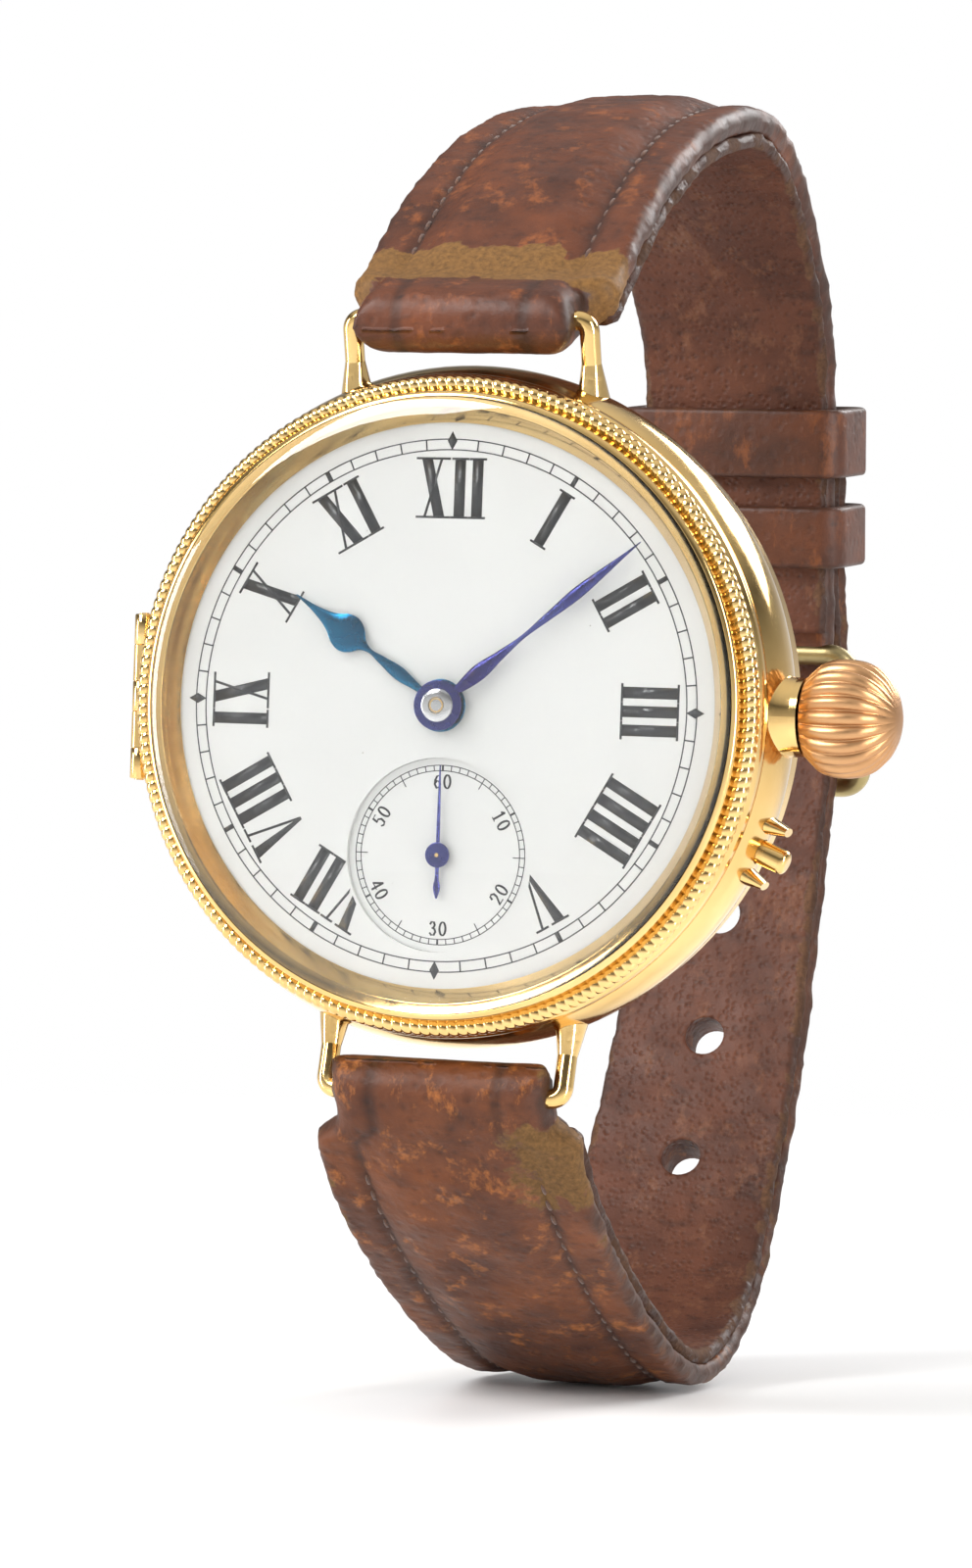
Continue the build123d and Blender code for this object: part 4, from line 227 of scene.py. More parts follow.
def leather(name, deep, warm, scuff, suede, gloss, grain_scale=1500):
    """Old leather. Vertex marks: wear is rubbed to suede, edge is burnished dark, crease is cracked."""
    made = Shader(name, Specular_IOR_Level=0.26, Coat_Roughness=0.42, Coat_Weight=gloss)
    wear, edge, crease = (made.attribute(mark) for mark in ("wear", "edge", "crease"))
    mottle = made.spread(made.noise(230, 6, 0.62), 0.32, 0.68)
    colour = made.mix(mottle, deep, warm)
    pores = made.cells(grain_scale)
    colour = made.mix(made.spread(pores, 0.0, 0.35, 0.45, 0.0), colour, tuple(c * 0.35 for c in deep))
    veins = made.spread(made.noise(620, 8, 0.72, (1, 1, 0.45)), 0.55, 0.64)
    colour = made.mix(made.calc("MULTIPLY", veins, 0.62), colour, scuff)
    dark_cracks = made.spread(made.noise(880, 7, 0.7, (0.4, 1, 1)), 0.58, 0.66, 0, 0.75)
    cracks = made.calc("MAXIMUM", made.calc("MULTIPLY", crease, 0.85), made.calc("MULTIPLY", dark_cracks, 0.5))
    colour = made.mix(cracks, colour, tuple(c * 0.22 for c in deep))
    ragged = made.calc("ADD", wear, made.spread(made.noise(1100, 6, 0.7), 0.3, 0.7, -0.3, 0.3))
    rubbed = made.spread(ragged, 0.42, 0.62)
    nap = made.mix(made.spread(made.noise(3600, 4, 0.7), 0.3, 0.7), suede, tuple(c * 0.45 for c in suede))
    colour = made.mix(rubbed, colour, nap)
    colour = made.mix(made.calc("MULTIPLY", edge, 0.82), colour, (0.028, 0.012, 0.007))
    made.drive("Base Color", colour)
    polish = made.spread(made.noise(420, 5), 0.3, 0.7, 0.42, 0.62)
    made.drive("Roughness", made.calc("MAXIMUM", polish, made.calc("MULTIPLY", rubbed, 0.88)))
    made.bump(
        (made.spread(pores, 0.0, 0.5), 0.05),
        (made.noise(700, 8, 0.7), 0.075),
        (made.noise(4200, 4, 0.7), 0.018),
    )
    return made.material


def thread():
    made = Shader("thread", Roughness=0.8, Sheen_Weight=0.3)
    twist = made.spread(made.noise(5200, 3), 0.35, 0.65)
    made.drive("Base Color", made.mix(twist, (0.045, 0.018, 0.01), (0.12, 0.05, 0.025)))
    made.bump((made.noise(6000, 2), 0.02))
    return made.material


def studio(name, colour, roughness, gloss=0.5):
    made = Shader(name, Roughness=roughness, Specular_IOR_Level=gloss)
    tone = made.spread(made.noise(3, 2), 0.3, 0.7)
    made.drive("Base Color", made.mix(tone, colour, tuple(c * 0.985 for c in colour)))
    away = made.node("ShaderNodeVectorMath", {0: made.place}, operation="LENGTH").outputs["Value"]
    made.drive("Alpha", made.spread(away, 0.05, 0.3, 1.0, 0.0))
    return made.material


GOLD = polished_metal("yellow_gold", (0.82, 0.58, 0.25), (0.68, 0.43, 0.15), 0.08, 0.19)
ROSE = polished_metal("rose_gold", (0.58, 0.33, 0.16), (0.42, 0.21, 0.09), 0.3, 0.48, 0.003)
DULL = polished_metal("buckle_gilt", (0.46, 0.37, 0.17), (0.22, 0.17, 0.09), 0.28, 0.48, 0.004)
STEEL = polished_metal("polished_steel", (0.66, 0.66, 0.66), (0.55, 0.55, 0.56), 0.12, 0.26)
BRASS = polished_metal("gilt_brass", (0.84, 0.61, 0.27), (0.74, 0.5, 0.2), 0.2, 0.34)
NICKEL = polished_metal("nickel_plate", (0.7, 0.67, 0.61), (0.6, 0.57, 0.52), 0.24, 0.4)
ENAMEL, INK, GLASS, RUBY, THREAD = enamel(), ink(), crystal_glass(), ruby(), thread()
HOUR_BLUE = blued("hour_blue", (0.008, 0.09, 0.19), (0.012, 0.15, 0.27), (0.05, 0.05, 0.07))
MINUTE_BLUE = blued("minute_blue", (0.03, 0.025, 0.13), (0.06, 0.07, 0.24), (0.08, 0.05, 0.09))
SPRING_BLUE = blued("spring_blue", (0.02, 0.06, 0.3), (0.03, 0.1, 0.42), (0.05, 0.05, 0.1))
UPPER_LEATHER = leather(
    "upper_leather", (0.040, 0.010, 0.0035), (0.125, 0.031, 0.007), (0.24, 0.068, 0.014), (0.21, 0.10, 0.026), 0.2
)
LOWER_LEATHER = leather(
    "lower_leather", (0.052, 0.014, 0.005), (0.15, 0.042, 0.010), (0.38, 0.125, 0.024), (0.17, 0.085, 0.026), 0.06
)
LINING = leather(
    "lining_leather", (0.045, 0.013, 0.006), (0.10, 0.032, 0.015), (0.14, 0.055, 0.026), (0.13, 0.062, 0.032), 0.0, 2600
)
SLOT_MATERIALS = {
    "yellow_gold": GOLD,
    "rose_gold": ROSE,
    "crystal_glass": GLASS,
    "polished_steel": STEEL,
    "white_enamel": ENAMEL,
    "blued_steel": SPRING_BLUE,
    "gilt_brass": BRASS,
    "nickel_plate": NICKEL,
    "ruby": RUBY,
    "strap_leather": UPPER_LEATHER,
    "strap_lining": LINING,
}

for part in frame["record"]["subparts"]:
    materials = frame["nodes"][part["node"]].data.materials
    materials.clear()
    materials.append(SLOT_MATERIALS[part["material_slot"]])
for node in ("buckle_frame", "buckle_tang"):
    frame["nodes"][node].data.materials[0] = DULL


# ---------------------------------------------------------------------------- mesh building
def build(name, points, faces, material, body, replaces=(), weld=False):
    """Makes a smooth piece from points in millimetres, and says what it rides on and stands for."""
    mesh = bpy.data.meshes.new(name)
    scaled = np.asarray(points, float) * MM
    mesh.from_pydata(scaled.tolist(), [], faces)
    work = bmesh.new()
    work.from_mesh(mesh)
    if weld:
        bmesh.ops.remove_doubles(work, verts=work.verts, dist=1e-6)
    bmesh.ops.recalc_face_normals(work, faces=work.faces)
    work.to_mesh(mesh)
    work.free()
    mesh.materials.append(material)
    mesh.polygons.foreach_set("use_smooth", [True] * len(mesh.polygons))
    piece = bpy.data.objects.new(name, mesh)
    bpy.context.scene.collection.objects.link(piece)
    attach(piece, body)
    if replaces:
        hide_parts(*replaces)
    return piece


def grid(rows, columns, close_rows=False, close_columns=False, start=0):
    """Quads of a grid of points numbered row by row."""
    faces = []
    for row in range(rows if close_rows else rows - 1):
        for column in range(columns if close_columns else columns - 1):
            after, beside = (row + 1) % rows, (column + 1) % columns
            corners = ((row, column), (row, beside), (after, beside), (after, column))
            faces.append([start + r * columns + c for r, c in corners])
    return faces


class Shapes:
    """Gathers points and faces of several forms that make one piece."""

    def __init__(self):
        self.points, self.faces = [], []

    def add(self, points, faces):
        start = len(self.points)
        self.points.extend([tuple(p) for p in points])
        self.faces.extend([[start + corner for corner in face] for face in faces])

    def slab(self, outline, low, high):
        """A flat shape with thickness: outline is (x, z), low and high are front distances."""
        count = len(outline)
        self.add(
            [on_dial(x, z, low) for x, z in outline] + [on_dial(x, z, high) for x, z in outline],
            [list(range(count)), list(range(2 * count - 1, count - 1, -1))]
            + [[i, (i + 1) % count, count + (i + 1) % count, count + i] for i in range(count)],
        )

    def ring(self, centre, inner, outer, low, high, segments=180):
        """A flat ring with thickness."""
        rows = []
        for step in range(segments):
            angle = 2 * pi * step / segments
            for radius, front in ((inner, low), (outer, low), (outer, high), (inner, high)):
                rows.append(on_dial(centre[0] + radius * cos(angle), centre[1] + radius * sin(angle), front))
        self.add(rows, grid(segments, 4, True, True))

    def tube(self, path, radius, sides=10):
        """A round rod along a path of 3-D points, closed and rounded at its ends."""
        path = [np.array(p, float) for p in path]
        rows, last = [], len(path) - 1
        for number, place in enumerate(path):
            along = path[min(number + 1, last)] - path[max(number - 1, 0)]
            along /= np.linalg.norm(along)
            side = np.cross(along, (0.3, 0.5, 0.81))
            side /= np.linalg.norm(side)
            other = np.cross(along, side)
            size = radius * (0.55 if number in (0, last) else 1.0)
            for step in range(sides):
                angle = 2 * pi * step / sides
                rows.append(place + size * (side * cos(angle) + other * sin(angle)))
        ends = [list(range(sides))[::-1], list(range(last * sides, (last + 1) * sides))]
        self.add(rows, grid(last + 1, sides, False, True) + ends)


def on_dial(x, z, front):
    return (x, DIAL_Y - front, z)


def polar(radius, angle):
    return (radius * cos(radians(angle)), radius * sin(radians(angle)))


def rounded(corners, sizes, steps=5):
    """A closed outline whose corners are rounded, each by its own size."""
    outline, count = [], len(corners)
    for number, corner in enumerate(corners):
        size = sizes[number] if isinstance(sizes, (list, tuple)) else sizes
        before, after = corners[number - 1], corners[(number + 1) % count]
        ends = []
        for other in (before, after):
            reach = hypot(other[0] - corner[0], other[1] - corner[1])
            share = min(size / reach, 0.48) if reach else 0
            ends.append([corner[i] + (other[i] - corner[i]) * share for i in (0, 1)])
        if size == 0:
            outline.append(tuple(corner))
            continue
        for step in range(steps + 1):
            t = step / steps
            outline.append(
                tuple(
                    (1 - t) ** 2 * ends[0][i] + 2 * t * (1 - t) * corner[i] + t * t * ends[1][i] for i in (0, 1)
                )
            )
    return outline


def lathe(profile, segments=288, centre=(0, 0), shape=None):
    """Turns a closed (radius, front) profile about the dial's axis, or one beside it."""
    points = []
    for step in range(segments):
        angle = 2 * pi * step / segments
        for radius, front in profile:
            if shape:
                radius, front = shape(radius, front, angle)
            x, z = centre[0] + radius * cos(angle), centre[1] + radius * sin(angle)
            points.append(on_dial(x, z, front))
    return points, grid(segments, len(profile), True, True)


def carve(piece, cutter_shapes):
    """Cuts shapes out of a piece."""
    mesh = bpy.data.meshes.new("cutter")
    mesh.from_pydata((np.array(cutter_shapes.points) * MM).tolist(), [], cutter_shapes.faces)
    work = bmesh.new()
    work.from_mesh(mesh)
    bmesh.ops.recalc_face_normals(work, faces=work.faces)
    work.to_mesh(mesh)
    work.free()
    cutter = bpy.data.objects.new("cutter", mesh)
    bpy.context.scene.collection.objects.link(cutter)
    modifier = piece.modifiers.new("carve", "BOOLEAN")
    modifier.object, modifier.operation, modifier.solver = cutter, "DIFFERENCE", "EXACT"
    bpy.context.view_layer.update()
    evaluated = piece.evaluated_get(bpy.context.evaluated_depsgraph_get())
    result = bpy.data.meshes.new_from_object(evaluated)
    piece.modifiers.clear()
    piece.data = result
    bpy.data.objects.remove(cutter)


# --------------------------------------------------------------------------- case and crystal
EDGE_RADIUS = 16.45
COVER_BORE = 15.5
CRYSTAL_RADIUS = 15.22
BEZEL_OPENING = 13.9
ROPE_CENTRE = (15.91, 0.15)
ROPE_RADIUS = 0.42
ROPE_TURNS = 204
HINGE_X = -16.5
HINGE_FRONT = -0.72
KNUCKLE_RADIUS = 0.48
KNUCKLE_LENGTH = 8.4 / 5
KNUCKLE_GAP = 0.12


def hinge_tube(shapes, front, number, radius, grow=0.0):
    """One barrel of a hinge, a plain round length along Z with softened ends."""
    low = -4.2 + number * KNUCKLE_LENGTH + KNUCKLE_GAP / 2 - grow
    high = -4.2 + (number + 1) * KNUCKLE_LENGTH - KNUCKLE_GAP / 2 + grow
    soft = 0.06
    stations = ((low, radius - soft), (low + soft, radius), (high - soft, radius), (high, radius - soft))
    rows = [
        (HINGE_X + size * cos(2 * pi * k / 32), DIAL_Y - front + size * sin(2 * pi * k / 32), z)
        for z, size in stations
        for k in range(32)
    ]
    ends = [list(range(32))[::-1], list(range(96, 128))]
    shapes.add(rows, grid(4, 32, False, True) + ends)


def make_bezel():
    flange = rounded(
        [
            (BEZEL_OPENING, 0.06),
            (BEZEL_OPENING + 0.72, 1.0),
            (CRYSTAL_RADIUS, 1.0),
            (CRYSTAL_RADIUS, 1.2),
            (CRYSTAL_RADIUS + 0.3, 1.06),
            (ROPE_CENTRE[0] - 0.34, 0.5),
            (ROPE_CENTRE[0] - 0.1, 0.02),
            (ROPE_CENTRE[0] + 0.28, 0.0),
            (EDGE_RADIUS, -0.3),
            (EDGE_RADIUS, -0.85),
            (COVER_BORE, -0.85),
            (COVER_BORE, 0.06),
        ],
        [0.08, 0.05, 0.03, 0.07, 0.2, 0.12, 0.1, 0.1, 0.22, 0.05, 0.03, 0.03],
    )
    shapes = Shapes()
    shapes.add(*lathe(flange, 360))
    body = build("bezel_ring", shapes.points, shapes.faces, GOLD, "bezel_body", ["bezel"])
    room = Shapes()
    for number in (1, 3):
        hinge_tube(room, HINGE_FRONT, number, KNUCKLE_RADIUS + 0.14, KNUCKLE_GAP)
    carve(body, room)
    barrels = Shapes()
    for number in (0, 2, 4):
        hinge_tube(barrels, HINGE_FRONT, number, KNUCKLE_RADIUS)
    build("bezel_knuckles", barrels.points, barrels.faces, GOLD, "bezel_body")


def make_rope():
    """The milled moulding: a round ring cut by slanting grooves, like a two-strand rope."""
    around, across = ROPE_TURNS * 10, 20
    points = []
    for step in range(around):
        angle = 2 * pi * step / around
        for part in range(across):
            turn = 2 * pi * part / across
            strand = abs(sin(ROPE_TURNS * angle / 2 + turn / 2))
            size = ROPE_RADIUS * (0.80 + 0.24 * sqrt(strand))
            radius = ROPE_CENTRE[0] + size * cos(turn)
            x, z = radius * cos(angle), radius * sin(angle)
            points.append(on_dial(x, z, ROPE_CENTRE[1] + size * sin(turn)))
    faces = grid(around, across, True, True)
    build("rope_moulding", points, faces, GOLD, "bezel_body")


def make_crystal():
    flat, rim = CRYSTAL_RADIUS - 0.53, CRYSTAL_RADIUS - 0.75
    top, under = 2.3, 1.55
    outside = [(flat * k / 24, top - (top - 1.48) * (k / 24) ** 2) for k in range(25)]
    edge = [(CRYSTAL_RADIUS - 0.02, 1.2), (CRYSTAL_RADIUS - 0.02, 1.02), (rim, 1.02)]
    inside = [(rim * k / 24, under - (under - 1.02) * (k / 24) ** 2) for k in range(23, -1, -1)]
    points, faces = lathe(outside + edge + inside, 240)
    faces = [f for number, f in enumerate(faces) if (number + 1) % len(outside + edge + inside)]
    piece = build("crystal_dome", points, faces, GLASS, "bezel_body", ["crystal"], weld=True)
    piece.data.shade_smooth()
    mark_sharp(piece, 24)


def mark_sharp(piece, angle):
    """Keeps edges that turn by more than an angle crisp."""
    piece.data.set_sharp_from_angle(angle=radians(angle))


make_bezel()
make_rope()
make_crystal()

# ------------------------------------------------------------------------------- dial printing
PRINT_LOW, PRINT_HIGH = -0.02, 0.012
TRACK_OUTER, TRACK_INNER = 13.11, 12.59
LINE = 0.06
NUMERAL_FOOT, NUMERAL_TOP = 9.2, 12.2
STEM, THIN, SERIF = 0.56, 0.13, 0.11
LETTER_GAP = 0.36
SECONDS_CENTRE = (0.0, -7.35)
SECONDS_RADIUS = 4.78
SECONDS_FRONT = -0.3
NUMERALS = ["XII", "I", "II", "III", "IIII", "V", "VI", "VII", "VIII", "IX", "X", "XI"]


def bar(radius_low, radius_high, angle, width, centre=(0, 0)):
    """A radial stroke as an outline in dial coordinates."""
    out, side = polar(1, angle), polar(1, angle + 90)
    half = width / 2
    corners = ((radius_low, half), (radius_high, half), (radius_high, -half), (radius_low, -half))
    return [(centre[0] + out[0] * r + side[0] * s, centre[1] + out[1] * r + side[1] * s) for r, s in corners]


def letter_strokes(letter):
    """A letter's width and its outlines: across from 0, and up from 0 to the numeral's height."""
    high = NUMERAL_TOP - NUMERAL_FOOT
    if letter == "I":
        wide = STEM
        shapes = [box(0, 0, STEM, high), serif(0, STEM, 0), serif(0, STEM, high - SERIF)]
        return wide, shapes
    if letter == "V":
        wide = 1.62
        foot = wide / 2
        thick = [(0.08, high), (0.08 + STEM, high), (foot + 0.1, 0), (foot - 0.06, 0)]
        thin = [(wide - 0.3, high), (wide - 0.3 + THIN, high), (foot + 0.1, 0), (foot - 0.02, 0)]
        tops = [serif(0.02, STEM + 0.12, high - SERIF), serif(wide - 0.42, wide - 0.05, high - SERIF)]
        return wide, [thick, thin] + tops
    wide = 1.5
    thick = [(0.1, high), (0.1 + STEM, high), (wide - 0.1, 0), (wide - 0.1 - STEM, 0)]
    thin = [(wide - 0.26 - THIN, high), (wide - 0.26, high), (0.26 + THIN, 0), (0.26, 0)]
    feet = [serif(0.05, 0.55, 0), serif(wide - 0.78, wide - 0.0, 0)]
    tops = [serif(0.0, 0.78, high - SERIF), serif(wide - 0.55, wide - 0.05, high - SERIF)]
    return wide, [thick, thin] + feet + tops


def box(left, low, right, high):
    return [(left, low), (right, low), (right, high), (left, high)]


def serif(left, right, low):
    return box(left - 0.17, low, right + 0.17, low + SERIF)


def inside_dial(outline):
    """False where the seconds dial has been cut away."""
    return all(
        hypot(x - SECONDS_CENTRE[0], z - SECONDS_CENTRE[1]) > SECONDS_RADIUS + 0.05 for x, z in outline
    )


def clipped(outline):
    """Moves the corners that would hang over the seconds dial back to its edge."""
    kept = []
    count = len(outline)
    for number, point in enumerate(outline):
        following = outline[(number + 1) % count]
        for step in range(12):
            t = step / 12
            kept.append((point[0] + (following[0] - point[0]) * t, point[1] + (following[1] - point[1]) * t))
    away = SECONDS_RADIUS + 0.06
    return [
        (x, z) for x, z in kept if hypot(x - SECONDS_CENTRE[0], z - SECONDS_CENTRE[1]) > away
    ]


def make_numerals(shapes):
    for hour, numeral in enumerate(NUMERALS):
        if hour == 6 or numeral == "VI":
            continue
        angle = 90 - 30 * hour
        letters = [letter_strokes(letter) for letter in numeral]
        wide = sum(width for width, _ in letters) + LETTER_GAP * (len(letters) - 1)
        out, clockwise = polar(1, angle), polar(1, angle - 90)
        start = -wide / 2
        for width, outlines in letters:
            for number, outline in enumerate(outlines):
                placed = [
                    (
                        out[0] * (NUMERAL_FOOT + up) + clockwise[0] * (start + across),
                        out[1] * (NUMERAL_FOOT + up) + clockwise[1] * (start + across),
                    )
                    for across, up in outline
                ]
                if not inside_dial(placed):
                    placed = clipped(placed)
                if len(placed) > 2:
                    lift = 0.0004 * number
                    shapes.slab(placed, PRINT_LOW, PRINT_HIGH + lift)
            start += width + LETTER_GAP


def make_dial_print():
    shapes = Shapes()
    for radius in (TRACK_OUTER, TRACK_INNER):
        shapes.ring((0, 0), radius - LINE / 2, radius + LINE / 2, PRINT_LOW, PRINT_HIGH, 360)
    for minute in range(60):
        angle = 90 - 6 * minute
        on_hour = minute % 5 == 0
        if minute % 15 == 0:
            middle = (TRACK_INNER + 13.47) / 2
            diamond = [polar(TRACK_INNER - 0.02, angle), None, polar(13.5, angle), None]
            out, side = polar(middle, angle), polar(0.25, angle + 90)
            diamond[1] = (out[0] + side[0], out[1] + side[1])
            diamond[3] = (out[0] - side[0], out[1] - side[1])
            shapes.slab(diamond, PRINT_LOW, PRINT_HIGH + 0.001)
        else:
            width = 0.24 if on_hour else 0.07
            shapes.slab(bar(TRACK_INNER, TRACK_OUTER, angle, width), PRINT_LOW, PRINT_HIGH + 0.0005)
    make_numerals(shapes)
    build("dial_printing", shapes.points, shapes.faces, INK, "root")


# each digit is drawn by strokes: points (across, up) in a unit square
DIGITS = {
    "0": [[(0.5 + 0.34 * cos(a * pi / 10), 0.5 + 0.46 * sin(a * pi / 10)) for a in range(21)]],
    "1": [[(0.28, 0.78), (0.52, 0.97), (0.52, 0.03)], [(0.3, 0.03), (0.74, 0.03)]],
    "2": [[(0.18, 0.72), (0.3, 0.93), (0.55, 0.97), (0.78, 0.82), (0.74, 0.56), (0.2, 0.06), (0.84, 0.06)]],
    "3": [
        [(0.2, 0.8), (0.36, 0.96), (0.62, 0.94), (0.72, 0.75), (0.6, 0.56), (0.42, 0.53)],
        [(0.42, 0.53), (0.7, 0.46), (0.8, 0.26), (0.62, 0.05), (0.34, 0.04), (0.17, 0.18)],
    ],
    "4": [[(0.66, 0.03), (0.66, 0.96), (0.12, 0.32), (0.88, 0.32)]],
    "5": [[(0.78, 0.94), (0.3, 0.94), (0.25, 0.56), (0.55, 0.6), (0.8, 0.4), (0.7, 0.1), (0.4, 0.03), (0.18, 0.15)]],
    "6": [
        [(0.74, 0.92), (0.45, 0.86), (0.24, 0.6), (0.2, 0.3), (0.42, 0.04), (0.7, 0.1), (0.8, 0.32)]
        + [(0.66, 0.52), (0.42, 0.54), (0.22, 0.36)]
    ],
}
DIGIT_HEIGHT = 0.71
DIGIT_WIDTH = 0.46
SECONDS_NUMBERS = {60: 1, 10: 1, 20: -1, 30: -1, 40: -1, 50: 1}  # 1 has its top outward


def stroke_outlines(line, width):
    """Short quads along a line of points, a little heavier on the upright parts."""
    outlines = []
    for first, second in zip(line, line[1:]):
        run, rise = second[0] - first[0], second[1] - first[1]
        length = hypot(run, rise) or 1e-6
        heavy = width * (0.65 + 0.75 * abs(rise) / length)
        side = (-rise / length * heavy / 2, run / length * heavy / 2)
        over = (run / length * width * 0.3, rise / length * width * 0.3)
        outlines.append(
            [
                (first[0] + side[0] - over[0], first[1] + side[1] - over[1]),
                (second[0] + side[0] + over[0], second[1] + side[1] + over[1]),
                (second[0] - side[0] + over[0], second[1] - side[1] + over[1]),
                (first[0] - side[0] - over[0], first[1] - side[1] - over[1]),
            ]
        )
    return outlines


def make_seconds_print():
    low, high = SECONDS_FRONT - 0.02, SECONDS_FRONT + 0.012
    shapes = Shapes()
    for radius in (4.42, 4.15):
        shapes.ring(SECONDS_CENTRE, radius - 0.022, radius + 0.022, low, high, 180)
    for second in range(60):
        angle = 90 - 6 * second
        inner = 3.8 if second % 10 == 5 else 4.15
        width = 0.1 if second % 10 == 0 else 0.045
        shapes.slab(bar(inner, 4.42, angle, width, SECONDS_CENTRE), low, high + 0.0005)
    for number, facing in SECONDS_NUMBERS.items():
        angle = 90 - 6 * number
        up = polar(facing, angle)
        right = (up[1], -up[0])
        middle = polar(3.62, angle)
        for place, digit in enumerate(str(number)):
            shift = (place - 0.5) * (DIGIT_WIDTH + 0.05) - DIGIT_WIDTH / 2
            for line in DIGITS[digit]:
                scaled = [(shift + x * DIGIT_WIDTH, (y - 0.5) * DIGIT_HEIGHT) for x, y in line]
                for outline in stroke_outlines(scaled, 0.075):
                    placed = [
                        (
                            SECONDS_CENTRE[0] + middle[0] + right[0] * x + up[0] * y,
                            SECONDS_CENTRE[1] + middle[1] + right[1] * x + up[1] * y,
                        )
                        for x, y in outline
                    ]
                    shapes.slab(placed, low, high)
    build("seconds_printing", shapes.points, shapes.faces, INK, "root")


make_dial_print()
make_seconds_print()

# -------------------------------------------------------------------------------------- hands
HAND_THICK = 0.13


def smooth_between(stations, count):
    """Half widths at even distances along a hand, easing between its stations."""
    distances = np.linspace(stations[0][0], stations[-1][0], count)
    known = np.array(stations, float)
    slopes = np.gradient(known[:, 1], known[:, 0])
    halves = []
    for distance in distances:
        right = min(max(int(np.searchsorted(known[:, 0], distance)), 1), len(known) - 1)
        left = right - 1
        gap = known[right, 0] - known[left, 0]
        t = (distance - known[left, 0]) / gap
        value = (
            (2 * t**3 - 3 * t**2 + 1) * known[left, 1]
            + (t**3 - 2 * t**2 + t) * gap * slopes[left]
            + (3 * t**2 - 2 * t**3) * known[right, 1]
            + (t**3 - t**2) * gap * slopes[right]
        )
        halves.append(max(value, 0.012))
    return distances, halves


def make_hand(name, node, body, front, angle, stations, boss, hole, material, centre=(0, 0)):
    """A crowned blade and a rounded boss ring."""
    shapes = Shapes()
    along, across = polar(1, angle), polar(1, angle + 90)
    distances, halves = smooth_between(stations, 120)
    section = [(-1, 0.25), (-0.85, 0.62), (-0.4, 0.93), (0, 1.0), (0.4, 0.93), (0.85, 0.62), (1, 0.25)]
    section += [(1, 0.0), (-1, 0.0)]
    rows = []
    for distance, half in zip(distances, halves):
        for side, height in section:
            x = centre[0] + along[0] * distance + across[0] * side * half
            z = centre[1] + along[1] * distance + across[1] * side * half
            rows.append(on_dial(x, z, front + HAND_THICK * height))
    count, last = len(section), len(distances) - 1
    ends = [list(range(count))[::-1], list(range(last * count, (last + 1) * count))]
    shapes.add(rows, grid(last + 1, count, False, True) + ends)
    ring = rounded([(hole, 0), (boss, 0), (boss, HAND_THICK), (hole, HAND_THICK)], 0.045)
    shapes.add(*lathe([(radius, front + rise) for radius, rise in ring], 96, centre))
    piece = build(name, shapes.points, shapes.faces, material, body, [node])
    mark_sharp(piece, 50)


make_hand(
    "hour_blade",
    "hour_hand",
    "hour_body",
    0.3,
    146,
    [
        (1.05, 0.14),
        (1.6, 0.2),
        (2.7, 0.34),
        (3.9, 0.2),
        (4.7, 0.13),
        (5.1, 0.3),
        (5.5, 0.72),
        (6.0, 0.94),
        (6.5, 0.86),
        (7.1, 0.5),
        (8.0, 0.22),
        (9.4, 0.03),
    ],
    1.3,
    1.02,
    HOUR_BLUE,
)
make_hand(
    "minute_blade",
    "minute_hand",
    "centre_body",
    0.68,
    39,
    [
        (0.9, 0.14),
        (1.5, 0.26),
        (2.6, 0.4),
        (4.0, 0.24),
        (5.4, 0.11),
        (7.2, 0.2),
        (9.0, 0.3),
        (10.8, 0.19),
        (12.0, 0.09),
        (13.1, 0.02),
    ],
    1.24,
    0.8,
    MINUTE_BLUE,
)
make_hand(
    "seconds_blade",
    "seconds_hand",
    "fourth_body",
    0.04,
    90,
    [
        (-2.15, 0.02),
        (-1.9, 0.12),
        (-1.55, 0.18),
        (-1.2, 0.11),
        (-0.6, 0.09),
        (0.6, 0.09),
        (2.5, 0.07),
        (4.4, 0.02),
    ],
    0.62,
    0.06,
    MINUTE_BLUE,
    SECONDS_CENTRE,
)


def make_centre_cap():
    """The polished end of the cannon pinion, turned with a small ring."""
    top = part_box("minute_hand")[0].y / MM
    front = DIAL_Y - top + 0.1
    profile = [(0.79, front - 0.25), (0.79, front + 0.02), (0.7, front + 0.07), (0.42, front + 0.08)]
    profile += [(0.38, front + 0.02), (0.33, front + 0.02), (0.28, front + 0.08), (0.0, front + 0.1)]
    profile += [(0.0, front - 0.25)]
    points, faces = lathe(profile, 72)
    faces = [f for number, f in enumerate(faces) if (number + 2) % len(profile)]
    piece = build("centre_cap", points, faces, STEEL, "centre_body", weld=True)
    mark_sharp(piece, 35)


make_centre_cap()

# ---------------------------------------------------------------------------- crown
STEM_Y = DIAL_Y + 3.05
CROWN_START = 17.83
CROWN_LENGTH = 4.7
CROWN_RADIUS = 2.95
CROWN_FLUTES = 22


